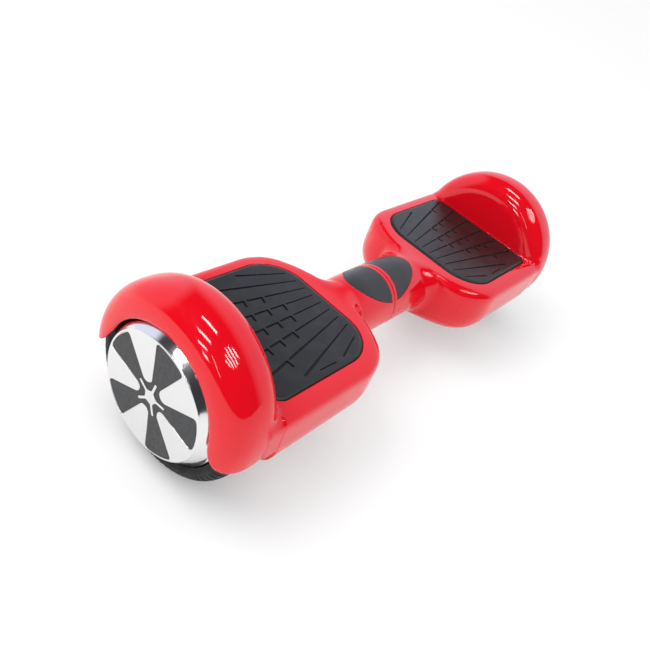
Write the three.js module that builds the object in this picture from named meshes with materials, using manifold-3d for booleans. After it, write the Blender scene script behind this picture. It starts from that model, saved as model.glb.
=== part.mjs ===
// Self balancing hoverboard with two 6.5 inch hub-motor wheels. Millimetres, +Z up.
// X runs along the wheel axles, the ground is Z = 0 and the origin is under the middle of the board.
// Each half is described by u, the distance from the middle along the axle, and is mirrored in place.
import * as THREE from 'three';
import { mergeVertices } from 'three/addons/utils/BufferGeometryUtils.js';
import Module from 'manifold-3d';

const wasm = await Module();
wasm.setup();

const radians = THREE.MathUtils.degToRad;

// Wheels
const TYRE_RADIUS = 82.5;
const AXLE_HEIGHT = TYRE_RADIUS;
const TYRE_BEAD_RADIUS = 67;
const TYRE_INNER_U = 235;
const TYRE_OUTER_U = 277;
const RIM_RADIUS = 66.5;
const RIM_BORE = 53;
const CAP_RADIUS = 56.2;
const CAP_FACE_U = 289;
const CAP_BACK_U = 273;
const LIP_RADIUS = 66;
const INNER_BEARING_RADIUS = 14;
const OUTER_BEARING_RADIUS = 12;
const AXLE_RADIUS = 7;
const WEDGE_COUNT = 5;
const WEDGE_RADIUS = 53.3;
const WEDGE_HALF_ANGLE = radians(17.5);
const WEDGE_PHASE = radians(29);
const CORNER_REACH = 4;
const INSET_DEPTH = 1.4;
const INLAY_TIP_RADIUS = 18;
const STAR_REACH = 16.8;
const STAR_HUB_RADIUS = 6;
const STAR_LEG_HALF = 1.25;

// Casing
const SEAM_U = 0.6;
const NECK_RADIUS = 34;
const PIVOT_HEIGHT = 78;
const DECK_HALF_WIDTH = 89;
const DECK_FLARE = 0.5;
const DECK_TOP = 107.5;
const DECK_BOTTOM = 34;
const DECK_INNER_U = 70;
const DECK_CORNER = 54;
const EAR_FILLET = 12;
const WALL = 3;
const CROWN_BLEND = [30, 85];
const BELLY_BLEND = [50, 110];
const SECTION_BLEND = [54, 100];
const NECK_POWER = 2;
const DECK_POWER = 8;
const BELLY_POWER = 3;
const SPLIT_HEIGHT = 56;
const ARCH_U = 228;
const FENDER_OUTER_U = 285;
const FENDER_RADIUS = 90;
const FENDER_POWER = 2.5;
const ARCH_OPENING = 62;
const FRONT_TIP_HEIGHT = 68;
const REAR_TIP_HEIGHT = 75;
const RING_POINTS = 20;
const CAVITY_POINTS = 16;
const ARCH_STEPS = 7;
const ARCH_SEGMENTS = 24;

// Footpads
const MAT_INNER_U = 89.5;
const MAT_OUTER_U = 226.8;
const MAT_HALF_WIDTH = 71.5;
const MAT_INNER_CORNER = 40;
const MAT_OUTER_CORNER = 12;
const MAT_TOP = 108.3;
const MAT_THICKNESS = 4;
const POCKET_FLOOR = 98.2;
const TRAY_UNDERSIDE = 95.8;
const POST_U = 158;
const POST_Y = [-22, 22];
const POST_RADIUS = 5;
const POST_LIFT = 1.6;
const PEDAL_LIFT = 2;

// Neck trims, controls and headlights
const TRIM_START_U = 5;
const TRIM_END_U = 50;
const TRIM_HALF_WIDTH = 29.8;
const TRIM_THICKNESS = 1.5;
const BUTTON_U = 182;
const BUTTON_RADIUS = 7;
const SOCKET_U = 150;
const SOCKET_RADIUS = 8;
const SOCKET_BORE = 5.8;
const SOCKET_FACE_Y = 83;
const SOCKET_BOSS_RADIUS = 13.5;
const CAP_DISC_RADIUS = 8.8;
const CONTROL_HEIGHT = 68;
const LAMP_BOTTOM = { z: 41, from: 122, to: 170 };
const LAMP_TOP = { z: 51.5, from: 128, to: 164 };

// Chassis
const HUB_RADIUS = 23;
const TUBE_RADIUS = 15;
const GROOVE_DEPTH = 1.2;
const FRAME_TOP = 84;
const FRAME_PLATE = 4;
const FRAME_HALF_WIDTH = 38;
const FRAME_SKIRT = 48;
const FRAME_SPREAD_U = 98;
const FRAME_NOSE_WIDTH = 18;
const FRAME_END_U = 196;
const GYRO_TOP = FRAME_TOP + 2.7;
const BOARD_UNDERSIDE = 60;
const CRADLE_END_U = 223;
const BUSH_THICKNESS = 3.4;
const HUB_START_U = 8;
const HUB_END_U = 54;
const CLAMP_U = 210;
const CLAMP_TOP = AXLE_HEIGHT + 8;
const BOLT_Y = [-16, 16];
const BOLT_RADIUS = 3;
const BOLT_DEPTH = 18;
const TWIST_LIMIT = radians(11.5);
const STOP_HALF_ANGLE = radians(14);

// Clearance between neighbouring pieces, and how far a cutting solid runs past what it cuts
const GAP = 0.3;
const PAST = 6;

const PAINT_RED = new THREE.MeshStandardMaterial({ color: 0xd8101c, roughness: 0.12, metalness: 0 });
const RUBBER = new THREE.MeshStandardMaterial({ color: 0x1b1c1e, roughness: 0.8, metalness: 0 });
const TRIM_BLACK = new THREE.MeshStandardMaterial({ color: 0x2b2d2f, roughness: 0.45, metalness: 0 });
const INSET_GREY = new THREE.MeshStandardMaterial({ color: 0x3f4144, roughness: 0.55, metalness: 0 });
const ALUMINIUM = new THREE.MeshStandardMaterial({ color: 0xc9cbce, roughness: 0.35, metalness: 1 });
const POLISHED = new THREE.MeshStandardMaterial({ color: 0xe6e7ea, roughness: 0.12, metalness: 1 });
const STEEL = new THREE.MeshStandardMaterial({ color: 0x8d9094, roughness: 0.35, metalness: 1 });
const COPPER = new THREE.MeshStandardMaterial({ color: 0xb56a3a, roughness: 0.4, metalness: 1 });
const BOARD_GREEN = new THREE.MeshStandardMaterial({ color: 0x145a32, roughness: 0.5, metalness: 0 });
const PACK_BLUE = new THREE.MeshStandardMaterial({ color: 0x1d4fa0, roughness: 0.4, metalness: 0 });
const LENS = new THREE.MeshStandardMaterial({ color: 0xcfe2f2, roughness: 0.1, metalness: 0 });

// ---------------------------------------------------------------- solid helpers

// One closed, outward-facing mesh with shared vertices.
function closed(geometry) {
  geometry.deleteAttribute('normal');
  geometry.deleteAttribute('uv');
  const merged = mergeVertices(geometry, 1e-3);
  const position = merged.attributes.position;
  const [a, b, c] = [new THREE.Vector3(), new THREE.Vector3(), new THREE.Vector3()];
  const faces = [];
  let volume = 0;
  for (let i = 0; i < merged.index.count; i += 3) {
    const corner = [0, 1, 2].map((k) => merged.index.getX(i + k));
    if (new Set(corner).size < 3) continue;
    faces.push(corner);
    a.fromBufferAttribute(position, corner[0]);
    b.fromBufferAttribute(position, corner[1]);
    c.fromBufferAttribute(position, corner[2]);
    volume += a.dot(b.cross(c));
  }
  if (volume < 0) faces.forEach((corner) => corner.reverse());
  merged.setIndex(faces.flat());
  return merged;
}

function solid(geometry) {
  const mesh = closed(geometry);
  return new wasm.Manifold(new wasm.Mesh({
    numProp: 3,
    vertProperties: new Float32Array(mesh.attributes.position.array),
    triVerts: new Uint32Array(mesh.index.array),
  }));
}

function geometryOf(body) {
  const mesh = body.getMesh();
  const geometry = new THREE.BufferGeometry();
  geometry.setAttribute('position', new THREE.BufferAttribute(new Float32Array(mesh.vertProperties), 3));
  geometry.setIndex(new THREE.BufferAttribute(new Uint32Array(mesh.triVerts), 1));
  return geometry;
}

function joined(first, ...others) {
  return others.reduce((body, other) => body.add(other), first);
}

function cut(first, ...others) {
  return others.reduce((body, other) => body.subtract(other), first);
}

// A surface through equal rings of points, closed with a fan at each end.
function loft(rings) {
  const count = rings[0].length;
  const points = rings.flat();
  const index = [];
  for (let r = 0; r + 1 < rings.length; r += 1) {
    for (let i = 0; i < count; i += 1) {
      const a = r * count + i;
      const b = r * count + ((i + 1) % count);
      index.push(a, b, b + count, a, b + count, a + count);
    }
  }
  [0, rings.length - 1].forEach((r) => {
    const centre = rings[r].reduce((sum, p) => sum.clone().add(p)).clone().divideScalar(count);
    points.push(centre);
    for (let i = 0; i < count; i += 1) {
      const a = r * count + i;
      const b = r * count + ((i + 1) % count);
      const hub = points.length - 1;
      index.push(...(r === 0 ? [hub, b, a] : [hub, a, b]));
    }
  });
  const geometry = new THREE.BufferGeometry().setFromPoints(points);
  geometry.setIndex(index);
  return geometry;
}

// Turns a section drawn in (y, z) and extruded along its own depth so that the depth runs along X.
const DEPTH_TO_X = new THREE.Matrix4().makeBasis(
  new THREE.Vector3(0, 1, 0),
  new THREE.Vector3(0, 0, 1),
  new THREE.Vector3(1, 0, 0),
);
// Turns a section drawn in (x, z) so that its depth runs along -Y.
const DEPTH_TO_Y = new THREE.Matrix4().makeRotationX(Math.PI / 2);
// Turns a profile revolved about Y so that it is revolved about X.
const LATHE_TO_X = new THREE.Matrix4().makeBasis(
  new THREE.Vector3(0, 0, 1),
  new THREE.Vector3(1, 0, 0),
  new THREE.Vector3(0, 1, 0),
);

function extruded(shape, depth, curveSegments = 4) {
  return new THREE.ExtrudeGeometry(shape, { depth, bevelEnabled: false, curveSegments });
}

function alongX(shape, from, to, curveSegments) {
  return extruded(shape, to - from, curveSegments).applyMatrix4(DEPTH_TO_X).translate(from, 0, 0);
}

function alongZ(shape, from, to, curveSegments) {
  return extruded(shape, to - from, curveSegments).translate(0, 0, from);
}

function alongY(shape, from, to, curveSegments) {
  return extruded(shape, to - from, curveSegments).applyMatrix4(DEPTH_TO_Y).translate(0, to, 0);
}

// A profile of (u, radius) pairs revolved about the X axis.
function turned(profile, segments = 32) {
  const points = profile.map(([u, radius]) => new THREE.Vector2(radius, u));
  return new THREE.LatheGeometry(points, segments).applyMatrix4(LATHE_TO_X);
}

// A ring between two radii, from one u to another.
function ring(inner, outer, from, to, segments) {
  return turned([[from, inner], [from, outer], [to, outer], [to, inner], [from, inner]], segments);
}

function rodX(radius, from, to, segments = 16) {
  return turned([[from, 0], [from, radius], [to, radius], [to, 0]], segments);
}

function rodY(radius, from, to, segments = 16) {
  return new THREE.CylinderGeometry(radius, radius, to - from, segments).translate(0, (from + to) / 2, 0);
}

function rodZ(radius, from, to, segments = 12) {
  const rod = new THREE.CylinderGeometry(radius, radius, to - from, segments);
  return rod.rotateX(Math.PI / 2).translate(0, 0, (from + to) / 2);
}

function block(fromU, toU, fromY, toY, fromZ, toZ) {
  const box = new THREE.BoxGeometry(toU - fromU, toY - fromY, toZ - fromZ);
  return box.translate((fromU + toU) / 2, (fromY + toY) / 2, (fromZ + toZ) / 2);
}

function at(geometry, u, y, z) {
  return geometry.translate(u, y, z);
}

function polar(radius, angle) {
  return [radius * Math.cos(angle), radius * Math.sin(angle)];
}

// ---------------------------------------------------------------- casing surface

const DECK_CORNER_U = DECK_INNER_U + DECK_CORNER;
const DECK_CORNER_Y = DECK_HALF_WIDTH - DECK_CORNER;
const FILLET_Y = NECK_RADIUS + EAR_FILLET;
const FILLET_U = DECK_CORNER_U - Math.sqrt((DECK_CORNER + EAR_FILLET) ** 2 - (FILLET_Y - DECK_CORNER_Y) ** 2);
const TANGENT_U = DECK_CORNER_U + (FILLET_U - DECK_CORNER_U) * DECK_CORNER / (DECK_CORNER + EAR_FILLET);

function blend(from, to, u, start, end) {
  return THREE.MathUtils.lerp(from, to, THREE.MathUtils.smoothstep(u, start, end));
}

// Plan outline: round neck, concave ear, big corner arc, then a deck that widens a little to the wheel.
function halfWidth(u) {
  if (u <= FILLET_U) return NECK_RADIUS;
  if (u <= TANGENT_U) return FILLET_Y - Math.sqrt(EAR_FILLET ** 2 - (u - FILLET_U) ** 2);
  const reach = DECK_CORNER_U - u;
  if (reach > 0) return DECK_CORNER_Y + Math.sqrt(DECK_CORNER ** 2 - reach ** 2);
  return DECK_HALF_WIDTH - DECK_FLARE * reach / (ARCH_U - DECK_CORNER_U);
}

function topHeight(u) {
  return blend(PIVOT_HEIGHT + NECK_RADIUS, DECK_TOP, u, ...CROWN_BLEND);
}

function bottomHeight(u) {
  return blend(PIVOT_HEIGHT - NECK_RADIUS, DECK_BOTTOM, u, ...BELLY_BLEND);
}

// A superellipse section, flat on the deck and rounder in the belly.
function casingRing(u, inset, count) {
  const width = Math.min(halfWidth(u) - inset, halfWidth(u - inset));
  const rise = topHeight(u) - PIVOT_HEIGHT - inset;
  const drop = PIVOT_HEIGHT - bottomHeight(u) - inset;
  const upper = 2 / blend(NECK_POWER, DECK_POWER, u, ...SECTION_BLEND);
  const lower = 2 / blend(NECK_POWER, BELLY_POWER, u, ...SECTION_BLEND);
  const points = [];
  for (let i = 0; i < count; i += 1) {
    const angle = 2 * Math.PI * i / count;
    const [c, s] = [Math.cos(angle), Math.sin(angle)];
    const power = s >= 0 ? upper : lower;
    const y = Math.sign(c) * width * Math.abs(c) ** power;
    const z = Math.sign(s) * (s >= 0 ? rise : drop) * Math.abs(s) ** power;
    points.push(new THREE.Vector3(u, y, PIVOT_HEIGHT + z));
  }
  return points;
}

// The casing's solid at an inset from its outer face, between two u values.
function casing(inset, fromU, toU, count = RING_POINTS) {
  const neck = [30, 48, FILLET_U];
  const fillet = [0.6, 0.87].map((share) => FILLET_U + EAR_FILLET * share);
  const corner = [25, 45, 65].map((turn) => DECK_CORNER_U - DECK_CORNER * Math.cos(radians(turn)));
  const stations = [...neck, ...fillet, TANGENT_U, ...corner, DECK_CORNER_U, POST_U + BUTTON_RADIUS];
  const within = stations.filter((u) => u > fromU && u < toU);
  return solid(loft([fromU, ...within, toU].map((u) => casingRing(u, inset, count))));
}

// Crown of the wheel arch as (u, radius) pairs about the axle.
function archProfile(inset, steps) {
  const centre = (ARCH_U + FENDER_OUTER_U) / 2;
  const half = (FENDER_OUTER_U - ARCH_U) / 2 - inset;
  const rise = FENDER_RADIUS - inset - ARCH_OPENING;
  const profile = [];
  for (let i = 0; i <= steps; i += 1) {
    const angle = Math.PI * (1 - i / steps);
    const [c, s] = [Math.cos(angle), Math.sin(angle)];
    const u = centre + half * Math.sign(c) * Math.abs(c) ** (2 / FENDER_POWER);
    profile.push([u, ARCH_OPENING + rise * Math.abs(s) ** (2 / FENDER_POWER)]);
  }
  return profile;
}

function archSolid(inset, steps, segments) {
  const profile = archProfile(inset, steps);
  const [start, end] = [profile[0][0], profile[steps][0]];
  const revolved = turned([[start, 0], ...profile, [end, 0]], segments);
  return solid(at(revolved, 0, 0, AXLE_HEIGHT));
}

// The part of the arch that stays: above the wheel opening, with a rounded tip on each side.
// The rear opening edge leaves the circle early and slants out; the front tip reaches lower.
function archKeep() {
  const far = FENDER_RADIUS + 20;
  const [rearAngle, frontAngle] = [radians(26), radians(176)];
  const [rearY, rearZ] = polar(ARCH_OPENING, rearAngle);
  const [frontY, frontZ] = polar(ARCH_OPENING, frontAngle);
  const [rear, front] = [REAR_TIP_HEIGHT, FRONT_TIP_HEIGHT];
  const shape = new THREE.Shape();
  shape.moveTo(rearY, AXLE_HEIGHT + rearZ);
  shape.bezierCurveTo(64, rear + 18, 70, rear + 1, 82, rear);
  shape.bezierCurveTo(86, rear - 1, 90, rear, 93, rear + 6);
  shape.lineTo(far, AXLE_HEIGHT + 10);
  shape.lineTo(far, AXLE_HEIGHT + far);
  shape.lineTo(-far, AXLE_HEIGHT + far);
  shape.lineTo(-far, AXLE_HEIGHT);
  shape.lineTo(-93, front + 9);
  shape.bezierCurveTo(-90, front, -84, front, -79, front);
  shape.bezierCurveTo(-68, front, -62.5, front + 11, frontY, AXLE_HEIGHT + frontZ);
  shape.absarc(0, AXLE_HEIGHT, ARCH_OPENING, frontAngle, rearAngle, true);
  return solid(alongX(shape, ARCH_U - 1, FENDER_OUTER_U + PAST, 7));
}

// The outline of a footpad in plan, grown by an offset.
function matOutline(offset) {
  const inner = MAT_INNER_U - offset;
  const outer = MAT_OUTER_U + offset;
  const width = MAT_HALF_WIDTH + offset;
  const big = MAT_INNER_CORNER + offset;
  const small = MAT_OUTER_CORNER + offset;
  const quarter = Math.PI / 2;
  const shape = new THREE.Shape();
  shape.moveTo(outer - small, -width);
  shape.absarc(outer - small, small - width, small, -quarter, 0, false);
  shape.absarc(outer - small, width - small, small, 0, quarter, false);
  shape.absarc(inner + big, width - big, big, quarter, 2 * quarter, false);
  shape.absarc(inner + big, big - width, big, 2 * quarter, 3 * quarter, false);
  return shape;
}

// The half-elliptic tongue of black trim over the neck, in plan, grown by an offset.
function trimOutline(offset) {
  const [reach, width] = [TRIM_END_U + offset, TRIM_HALF_WIDTH + offset];
  const start = TRIM_START_U - offset;
  const turn = Math.acos(start / reach);
  const shape = new THREE.Shape();
  shape.moveTo(start, -width * Math.sin(turn));
  shape.absellipse(0, 0, reach, width, -turn, turn, false, 0);
  return shape;
}

// Everything between two heights, wide enough to hold a whole half.
function slab(bottom, top) {
  const [reach, width] = [FENDER_OUTER_U + PAST, DECK_HALF_WIDTH + PAST];
  return solid(block(-PAST, reach, -width, width, bottom, top));
}

// Slot that lets the casing drop over the axle from above.
function axleSlot() {
  const slot = new THREE.Shape();
  const radius = AXLE_RADIUS + 4;
  slot.moveTo(radius, 0);
  slot.lineTo(radius, AXLE_HEIGHT);
  slot.absarc(0, AXLE_HEIGHT, radius, 0, Math.PI, false);
  slot.lineTo(-radius, 0);
  return solid(alongX(slot, ARCH_U - PAST, ARCH_U + PAST, 8));
}

// Hollow deck with a tray for the footpad, a wheel arch and the seat of the neck trim.
function topShell(side) {
  const cavity = casing(WALL, -PAST, ARCH_U, CAVITY_POINTS);
  const tray = solid(alongZ(matOutline(WALL), TRAY_UNDERSIDE, DECK_TOP));
  const deck = casing(0, SEAM_U, ARCH_U + WALL).intersect(slab(SPLIT_HEIGHT, 2 * DECK_TOP));
  const reach = DECK_HALF_WIDTH + PAST;
  const endWall = solid(block(ARCH_U - 1, ARCH_U + WALL, -reach, reach, AXLE_HEIGHT, 2 * DECK_TOP));
  const crown = cut(archSolid(0, ARCH_STEPS, ARCH_SEGMENTS), archSolid(WALL, ARCH_STEPS - 1, ARCH_SEGMENTS));
  const arch = crown.intersect(archKeep().add(endWall));
  const pocket = solid(alongZ(matOutline(2 * GAP), POCKET_FLOOR, 2 * DECK_TOP));
  const postHoles = POST_Y.map((y) => {
    const hole = rodZ(POST_RADIUS + 2, TRAY_UNDERSIDE - 1, POCKET_FLOOR + 1);
    return solid(at(hole, POST_U, y, 0));
  });
  const shell = cut(deck, cut(cavity, tray)).add(arch);
  const opened = cut(shell, pocket, trimSeat(), axleSlot(), ...postHoles);
  return side > 0 ? cut(opened.add(deck.intersect(socketBoss())), ...controlHoles()) : opened;
}

// Room for the neck trim, a clearance larger than the trim all round.
function trimSeat() {
  const skin = casing(-2, -PAST, TRIM_END_U + PAST);
  const core = casing(TRIM_THICKNESS + GAP, -PAST, TRIM_END_U + 2 * PAST);
  return cut(skin, core).intersect(solid(alongZ(trimOutline(GAP), PIVOT_HEIGHT, 2 * DECK_TOP, 8)));
}

// Thick ring inside the rear flank that holds the socket.
function socketBoss() {
  const ring = rodY(SOCKET_BOSS_RADIUS, SOCKET_FACE_Y - 3, DECK_HALF_WIDTH + PAST);
  return solid(at(ring, SOCKET_U, 0, CONTROL_HEIGHT));
}

// Holes in the rear flank for the button, the socket and the recess of the socket's cap.
// The recess is square along the top, so that the cap can swing out of it.
function controlHoles() {
  const reach = DECK_HALF_WIDTH + PAST;
  const [half, bottom] = [CAP_DISC_RADIUS + 0.5, SOCKET_FACE_Y + GAP];
  const ceiling = CONTROL_HEIGHT + CAP_DISC_RADIUS + 0.8;
  const brow = block(SOCKET_U - half, SOCKET_U + half, bottom, reach, CONTROL_HEIGHT, ceiling);
  const bores = [
    [BUTTON_U, BUTTON_RADIUS + 0.4, 60],
    [SOCKET_U, SOCKET_RADIUS + GAP, 60],
    [SOCKET_U, half, bottom],
  ].map(([u, radius, fromY]) => solid(at(rodY(radius, fromY, reach), u, 0, CONTROL_HEIGHT)));
  return [...bores, solid(brow)];
}

// Headlight window through the lower front flank, grown by an offset.
function lampWindow(offset) {
  const shape = new THREE.Shape();
  shape.moveTo(LAMP_BOTTOM.from - offset, LAMP_BOTTOM.z - offset);
  shape.lineTo(LAMP_BOTTOM.to + offset, LAMP_BOTTOM.z - offset);
  shape.lineTo(LAMP_TOP.to + offset, LAMP_TOP.z + offset);
  shape.lineTo(LAMP_TOP.from - offset, LAMP_TOP.z + offset);
  return solid(alongY(shape, -DECK_HALF_WIDTH - PAST, -DECK_HALF_WIDTH / 2));
}

function bottomShell() {
  const pan = casing(0, SEAM_U, ARCH_U + WALL).intersect(slab(0, SPLIT_HEIGHT - GAP));
  return cut(pan, casing(WALL, -PAST, ARCH_U, CAVITY_POINTS), lampWindow(GAP), axleSlot());
}

function neckTrim() {
  const skin = casing(0, SEAM_U, TRIM_END_U + PAST);
  const core = casing(TRIM_THICKNESS, -PAST, TRIM_END_U + 2 * PAST);
  return cut(skin, core).intersect(solid(alongZ(trimOutline(0), PIVOT_HEIGHT, 2 * DECK_TOP, 8)));
}

// ---------------------------------------------------------------- footpad

// Rubber mat with a bevelled edge.
function footpadMat() {
  const [inset, bevel] = [3, 1.2];
  const crown = new THREE.ExtrudeGeometry(matOutline(-inset), {
    depth: MAT_THICKNESS - 2 * bevel,
    bevelSize: inset,
    bevelThickness: bevel,
    bevelSegments: 1,
    curveSegments: 4,
  });
  return solid(at(crown, 0, 0, MAT_TOP - MAT_THICKNESS + bevel));
}

// Carries the mat. Its posts reach down through the tray to just above the gyro board.
function pedalPlate() {
  const top = MAT_TOP - MAT_THICKNESS - GAP;
  const plate = solid(alongZ(matOutline(-1.5), POCKET_FLOOR + PEDAL_LIFT, top));
  const posts = POST_Y.map((y) => solid(at(rodZ(POST_RADIUS, GYRO_TOP + POST_LIFT, top - 1), POST_U, y, 0)));
  return joined(plate, ...posts);
}

// ---------------------------------------------------------------- chassis

// Cast chassis: pivot hub, deck plate with a skirt down each side, and a cradle for the axle.
function frame(side) {
  const noseU = HUB_END_U - 12;
  const ribEndU = FRAME_SPREAD_U - 14;
  const bulkheadU = FRAME_END_U - FRAME_PLATE;
  const inner = FRAME_HALF_WIDTH - FRAME_PLATE;
  const edge = [
    [noseU, FRAME_NOSE_WIDTH],
    [ribEndU, FRAME_NOSE_WIDTH],
    [FRAME_SPREAD_U, FRAME_HALF_WIDTH],
    [FRAME_END_U, FRAME_HALF_WIDTH],
  ];
  const outline = [...edge, ...edge.map(([u, y]) => [u, -y]).reverse()];
  const plate = new THREE.Shape(outline.map(([u, y]) => new THREE.Vector2(u, y)));
  const casting = joined(
    solid(at(rodX(HUB_RADIUS, HUB_START_U, HUB_END_U), 0, 0, PIVOT_HEIGHT)),
    solid(alongZ(plate, FRAME_TOP - FRAME_PLATE, FRAME_TOP)),
    solid(block(FRAME_SPREAD_U, FRAME_END_U, -FRAME_HALF_WIDTH, -inner, FRAME_SKIRT, FRAME_TOP)),
    solid(block(FRAME_SPREAD_U, FRAME_END_U, inner, FRAME_HALF_WIDTH, FRAME_SKIRT, FRAME_TOP)),
    solid(block(noseU, ribEndU, -PAST, PAST, PIVOT_HEIGHT - 12, PIVOT_HEIGHT + HUB_RADIUS - 2)),
    solid(block(bulkheadU, FRAME_END_U, -FRAME_HALF_WIDTH, FRAME_HALF_WIDTH, FRAME_SKIRT, FRAME_TOP)),
    solid(block(bulkheadU, CRADLE_END_U, -26, 26, FRAME_SKIRT, AXLE_HEIGHT - GAP)),
  );
  const boreRadius = side > 0 ? TUBE_RADIUS + BUSH_THICKNESS + 2 * GAP : TUBE_RADIUS + GAP;
  const bore = solid(at(rodX(boreRadius, 0, HUB_END_U + PAST), 0, 0, PIVOT_HEIGHT));
  const endRoom = solid(at(rodX(TUBE_RADIUS + PAST, HUB_END_U, HUB_END_U + 9), 0, 0, PIVOT_HEIGHT));
  const body = cut(casting, axleBed(), bore, endRoom, ...boltHoles());
  return side > 0 ? body.subtract(stopNotch()) : body.add(stopLug());
}

function axleBed() {
  return solid(at(rodX(AXLE_RADIUS + GAP, FRAME_END_U - 2 * PAST, CRADLE_END_U + PAST), 0, 0, AXLE_HEIGHT));
}

function boltHoles() {
  return BOLT_Y.map((y) => {
    const hole = rodZ(BOLT_RADIUS + GAP, AXLE_HEIGHT - BOLT_DEPTH, CLAMP_TOP + 1, 10);
    return solid(at(hole, CLAMP_U, y, 0));
  });
}

// A sector about the pivot, centred straight below it.
function hubSector(inner, outer, halfAngle, from, to) {
  const [start, end] = [-Math.PI / 2 - halfAngle, -Math.PI / 2 + halfAngle];
  const shape = new THREE.Shape();
  shape.absarc(0, PIVOT_HEIGHT, outer, start, end, false);
  shape.absarc(0, PIVOT_HEIGHT, inner, end, start, true);
  return solid(alongX(shape, from, to, 4));
}

// A lug on the left hub reaches across the middle into a notch of the right hub and limits the twist.
function stopLug() {
  return hubSector(TUBE_RADIUS + 4.5, HUB_RADIUS - 1, STOP_HALF_ANGLE, -12, 11);
}

function stopNotch() {
  return hubSector(TUBE_RADIUS + 1, HUB_RADIUS + 2, STOP_HALF_ANGLE + TWIST_LIMIT, 0, 13);
}

function axleClamp() {
  const body = solid(block(FRAME_END_U + 2, CRADLE_END_U, -24, 24, AXLE_HEIGHT + GAP, CLAMP_TOP));
  return cut(body, axleBed(), ...boltHoles());
}

function clampBolt(y) {
  const [tip, seat, head] = [AXLE_HEIGHT - BOLT_DEPTH + 1, CLAMP_TOP + GAP, CLAMP_TOP + GAP + 4];
  const profile = [[tip, 0], [tip, BOLT_RADIUS], [seat, BOLT_RADIUS], [seat, 5.5], [head, 5.5], [head, 0]];
  return at(turned(profile, 10).rotateY(-Math.PI / 2), CLAMP_U, y, 0);
}

// Sensor board on four legs, with one chip on top.
function gyroBoard() {
  const [halfU, halfY, thickness, chip] = [22, 30, 1.4, 4];
  const base = FRAME_TOP + GAP;
  const corners = [[-18, -26], [-18, 26], [18, -26], [18, 26]];
  const plate = block(POST_U - halfU, POST_U + halfU, -halfY, halfY, GYRO_TOP - thickness, GYRO_TOP);
  const inside = GYRO_TOP - thickness / 2;
  const legs = corners.map(([u, y]) => solid(at(rodZ(2.5, base, inside, 8), POST_U + u, y, 0)));
  const sensor = block(POST_U - chip, POST_U + chip, -chip, chip, inside, GYRO_TOP + 1);
  return joined(solid(plate), solid(sensor), ...legs);
}

function headlightLens() {
  const skin = cut(casing(0.2, SEAM_U, ARCH_U), casing(WALL - 0.4, -PAST, ARCH_U + PAST));
  return skin.intersect(lampWindow(0));
}

// A strip behind the lens with three lamps along it.
function headlightBoard() {
  const [backY, faceY, lampY, height] = [-51, -56, -59.5, 44];
  const strip = block(LAMP_TOP.from, LAMP_TOP.to, faceY, backY, height - 1, height + 1);
  const lamps = [-12, 0, 12].map((offset) => {
    const u = (LAMP_TOP.from + LAMP_TOP.to) / 2 + offset;
    return solid(block(u - 2.5, u + 2.5, lampY, faceY + 1, height - 1.5, height + 3.5));
  });
  return joined(solid(strip), ...lamps);
}

// ---------------------------------------------------------------- wheel, about its own axle

// Rounded tread over a low sidewall. Its flats, not its corners, touch the ground circle.
function tyre() {
  const [steps, segments, shoulder] = [6, 32, 70];
  const [sidePower, crownPower] = [0.55, 0.85];
  const middle = (TYRE_INNER_U + TYRE_OUTER_U) / 2;
  const half = (TYRE_OUTER_U - TYRE_INNER_U) / 2;
  const crown = [];
  for (let i = 0; i <= steps; i += 1) {
    const [c, s] = polar(1, Math.PI * (1 - i / steps));
    const u = middle + half * Math.sign(c) * Math.abs(c) ** sidePower;
    crown.push([u, shoulder + (TYRE_RADIUS - shoulder) * Math.abs(s) ** crownPower]);
  }
  const bead = [[TYRE_OUTER_U - 2, TYRE_BEAD_RADIUS], [TYRE_INNER_U + 2, TYRE_BEAD_RADIUS]];
  const flats = 1 / Math.cos(Math.PI / segments);
  const profile = [...crown, ...bead, crown[0]].map(([u, radius]) => [u, radius * flats]);
  return turned(profile, segments).rotateX(Math.PI / segments);
}

// Cup-shaped rotor: outer barrel, closed outer web and a boss for the outer bearing.
function rotorRim() {
  const [start, end, web, bossStart] = [240, 272, 268, 260];
  const [outer, boss, seat] = [RIM_RADIUS - 0.5, 16, OUTER_BEARING_RADIUS + GAP];
  return turned([
    [start, RIM_BORE], [start, outer], [end, outer], [end, 0], [end - 1.5, 0], [end - 1.5, seat],
    [bossStart, seat], [bossStart, boss], [web, boss], [web, RIM_BORE], [start, RIM_BORE],
  ], 20);
}

// Inner side of the motor, with a collar round the inner bearing.
function motorCover() {
  const [start, face, collarEnd] = [236.5, 239.7, 246];
  const [seat, collar, edge] = [INNER_BEARING_RADIUS + GAP, 19, 64];
  return turned([
    [start, seat], [start, edge], [face, edge], [face, collar],
    [collarEnd, collar], [collarEnd, seat], [start, seat],
  ], 20);
}

// Stator sheet: teeth with a narrow stem and a wide shoe, round a bore for the axle.
function stator() {
  const [teeth, hubRadius, stemRadius, shoeRadius, tipRadius] = [12, 33, 46, 46.5, 48.5];
  const tooth = [
    [-0.42, tipRadius], [0.42, tipRadius], [0.42, shoeRadius],
    [0.2, stemRadius], [0.2, hubRadius], [0.8, hubRadius],
  ];
  const pitch = 2 * Math.PI / teeth;
  const shape = new THREE.Shape();
  for (let i = 0; i < teeth; i += 1) {
    tooth.forEach(([turn, radius], k) => {
      const point = polar(radius, pitch * (i + turn));
      if (i === 0 && k === 0) shape.moveTo(...point);
      else shape.lineTo(...point);
    });
  }
  const hole = new THREE.Path();
  hole.absarc(0, 0, AXLE_RADIUS + 1.6, 0, 2 * Math.PI, true);
  shape.holes.push(hole);
  return alongX(shape, 247.5, 259, 6);
}

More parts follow.
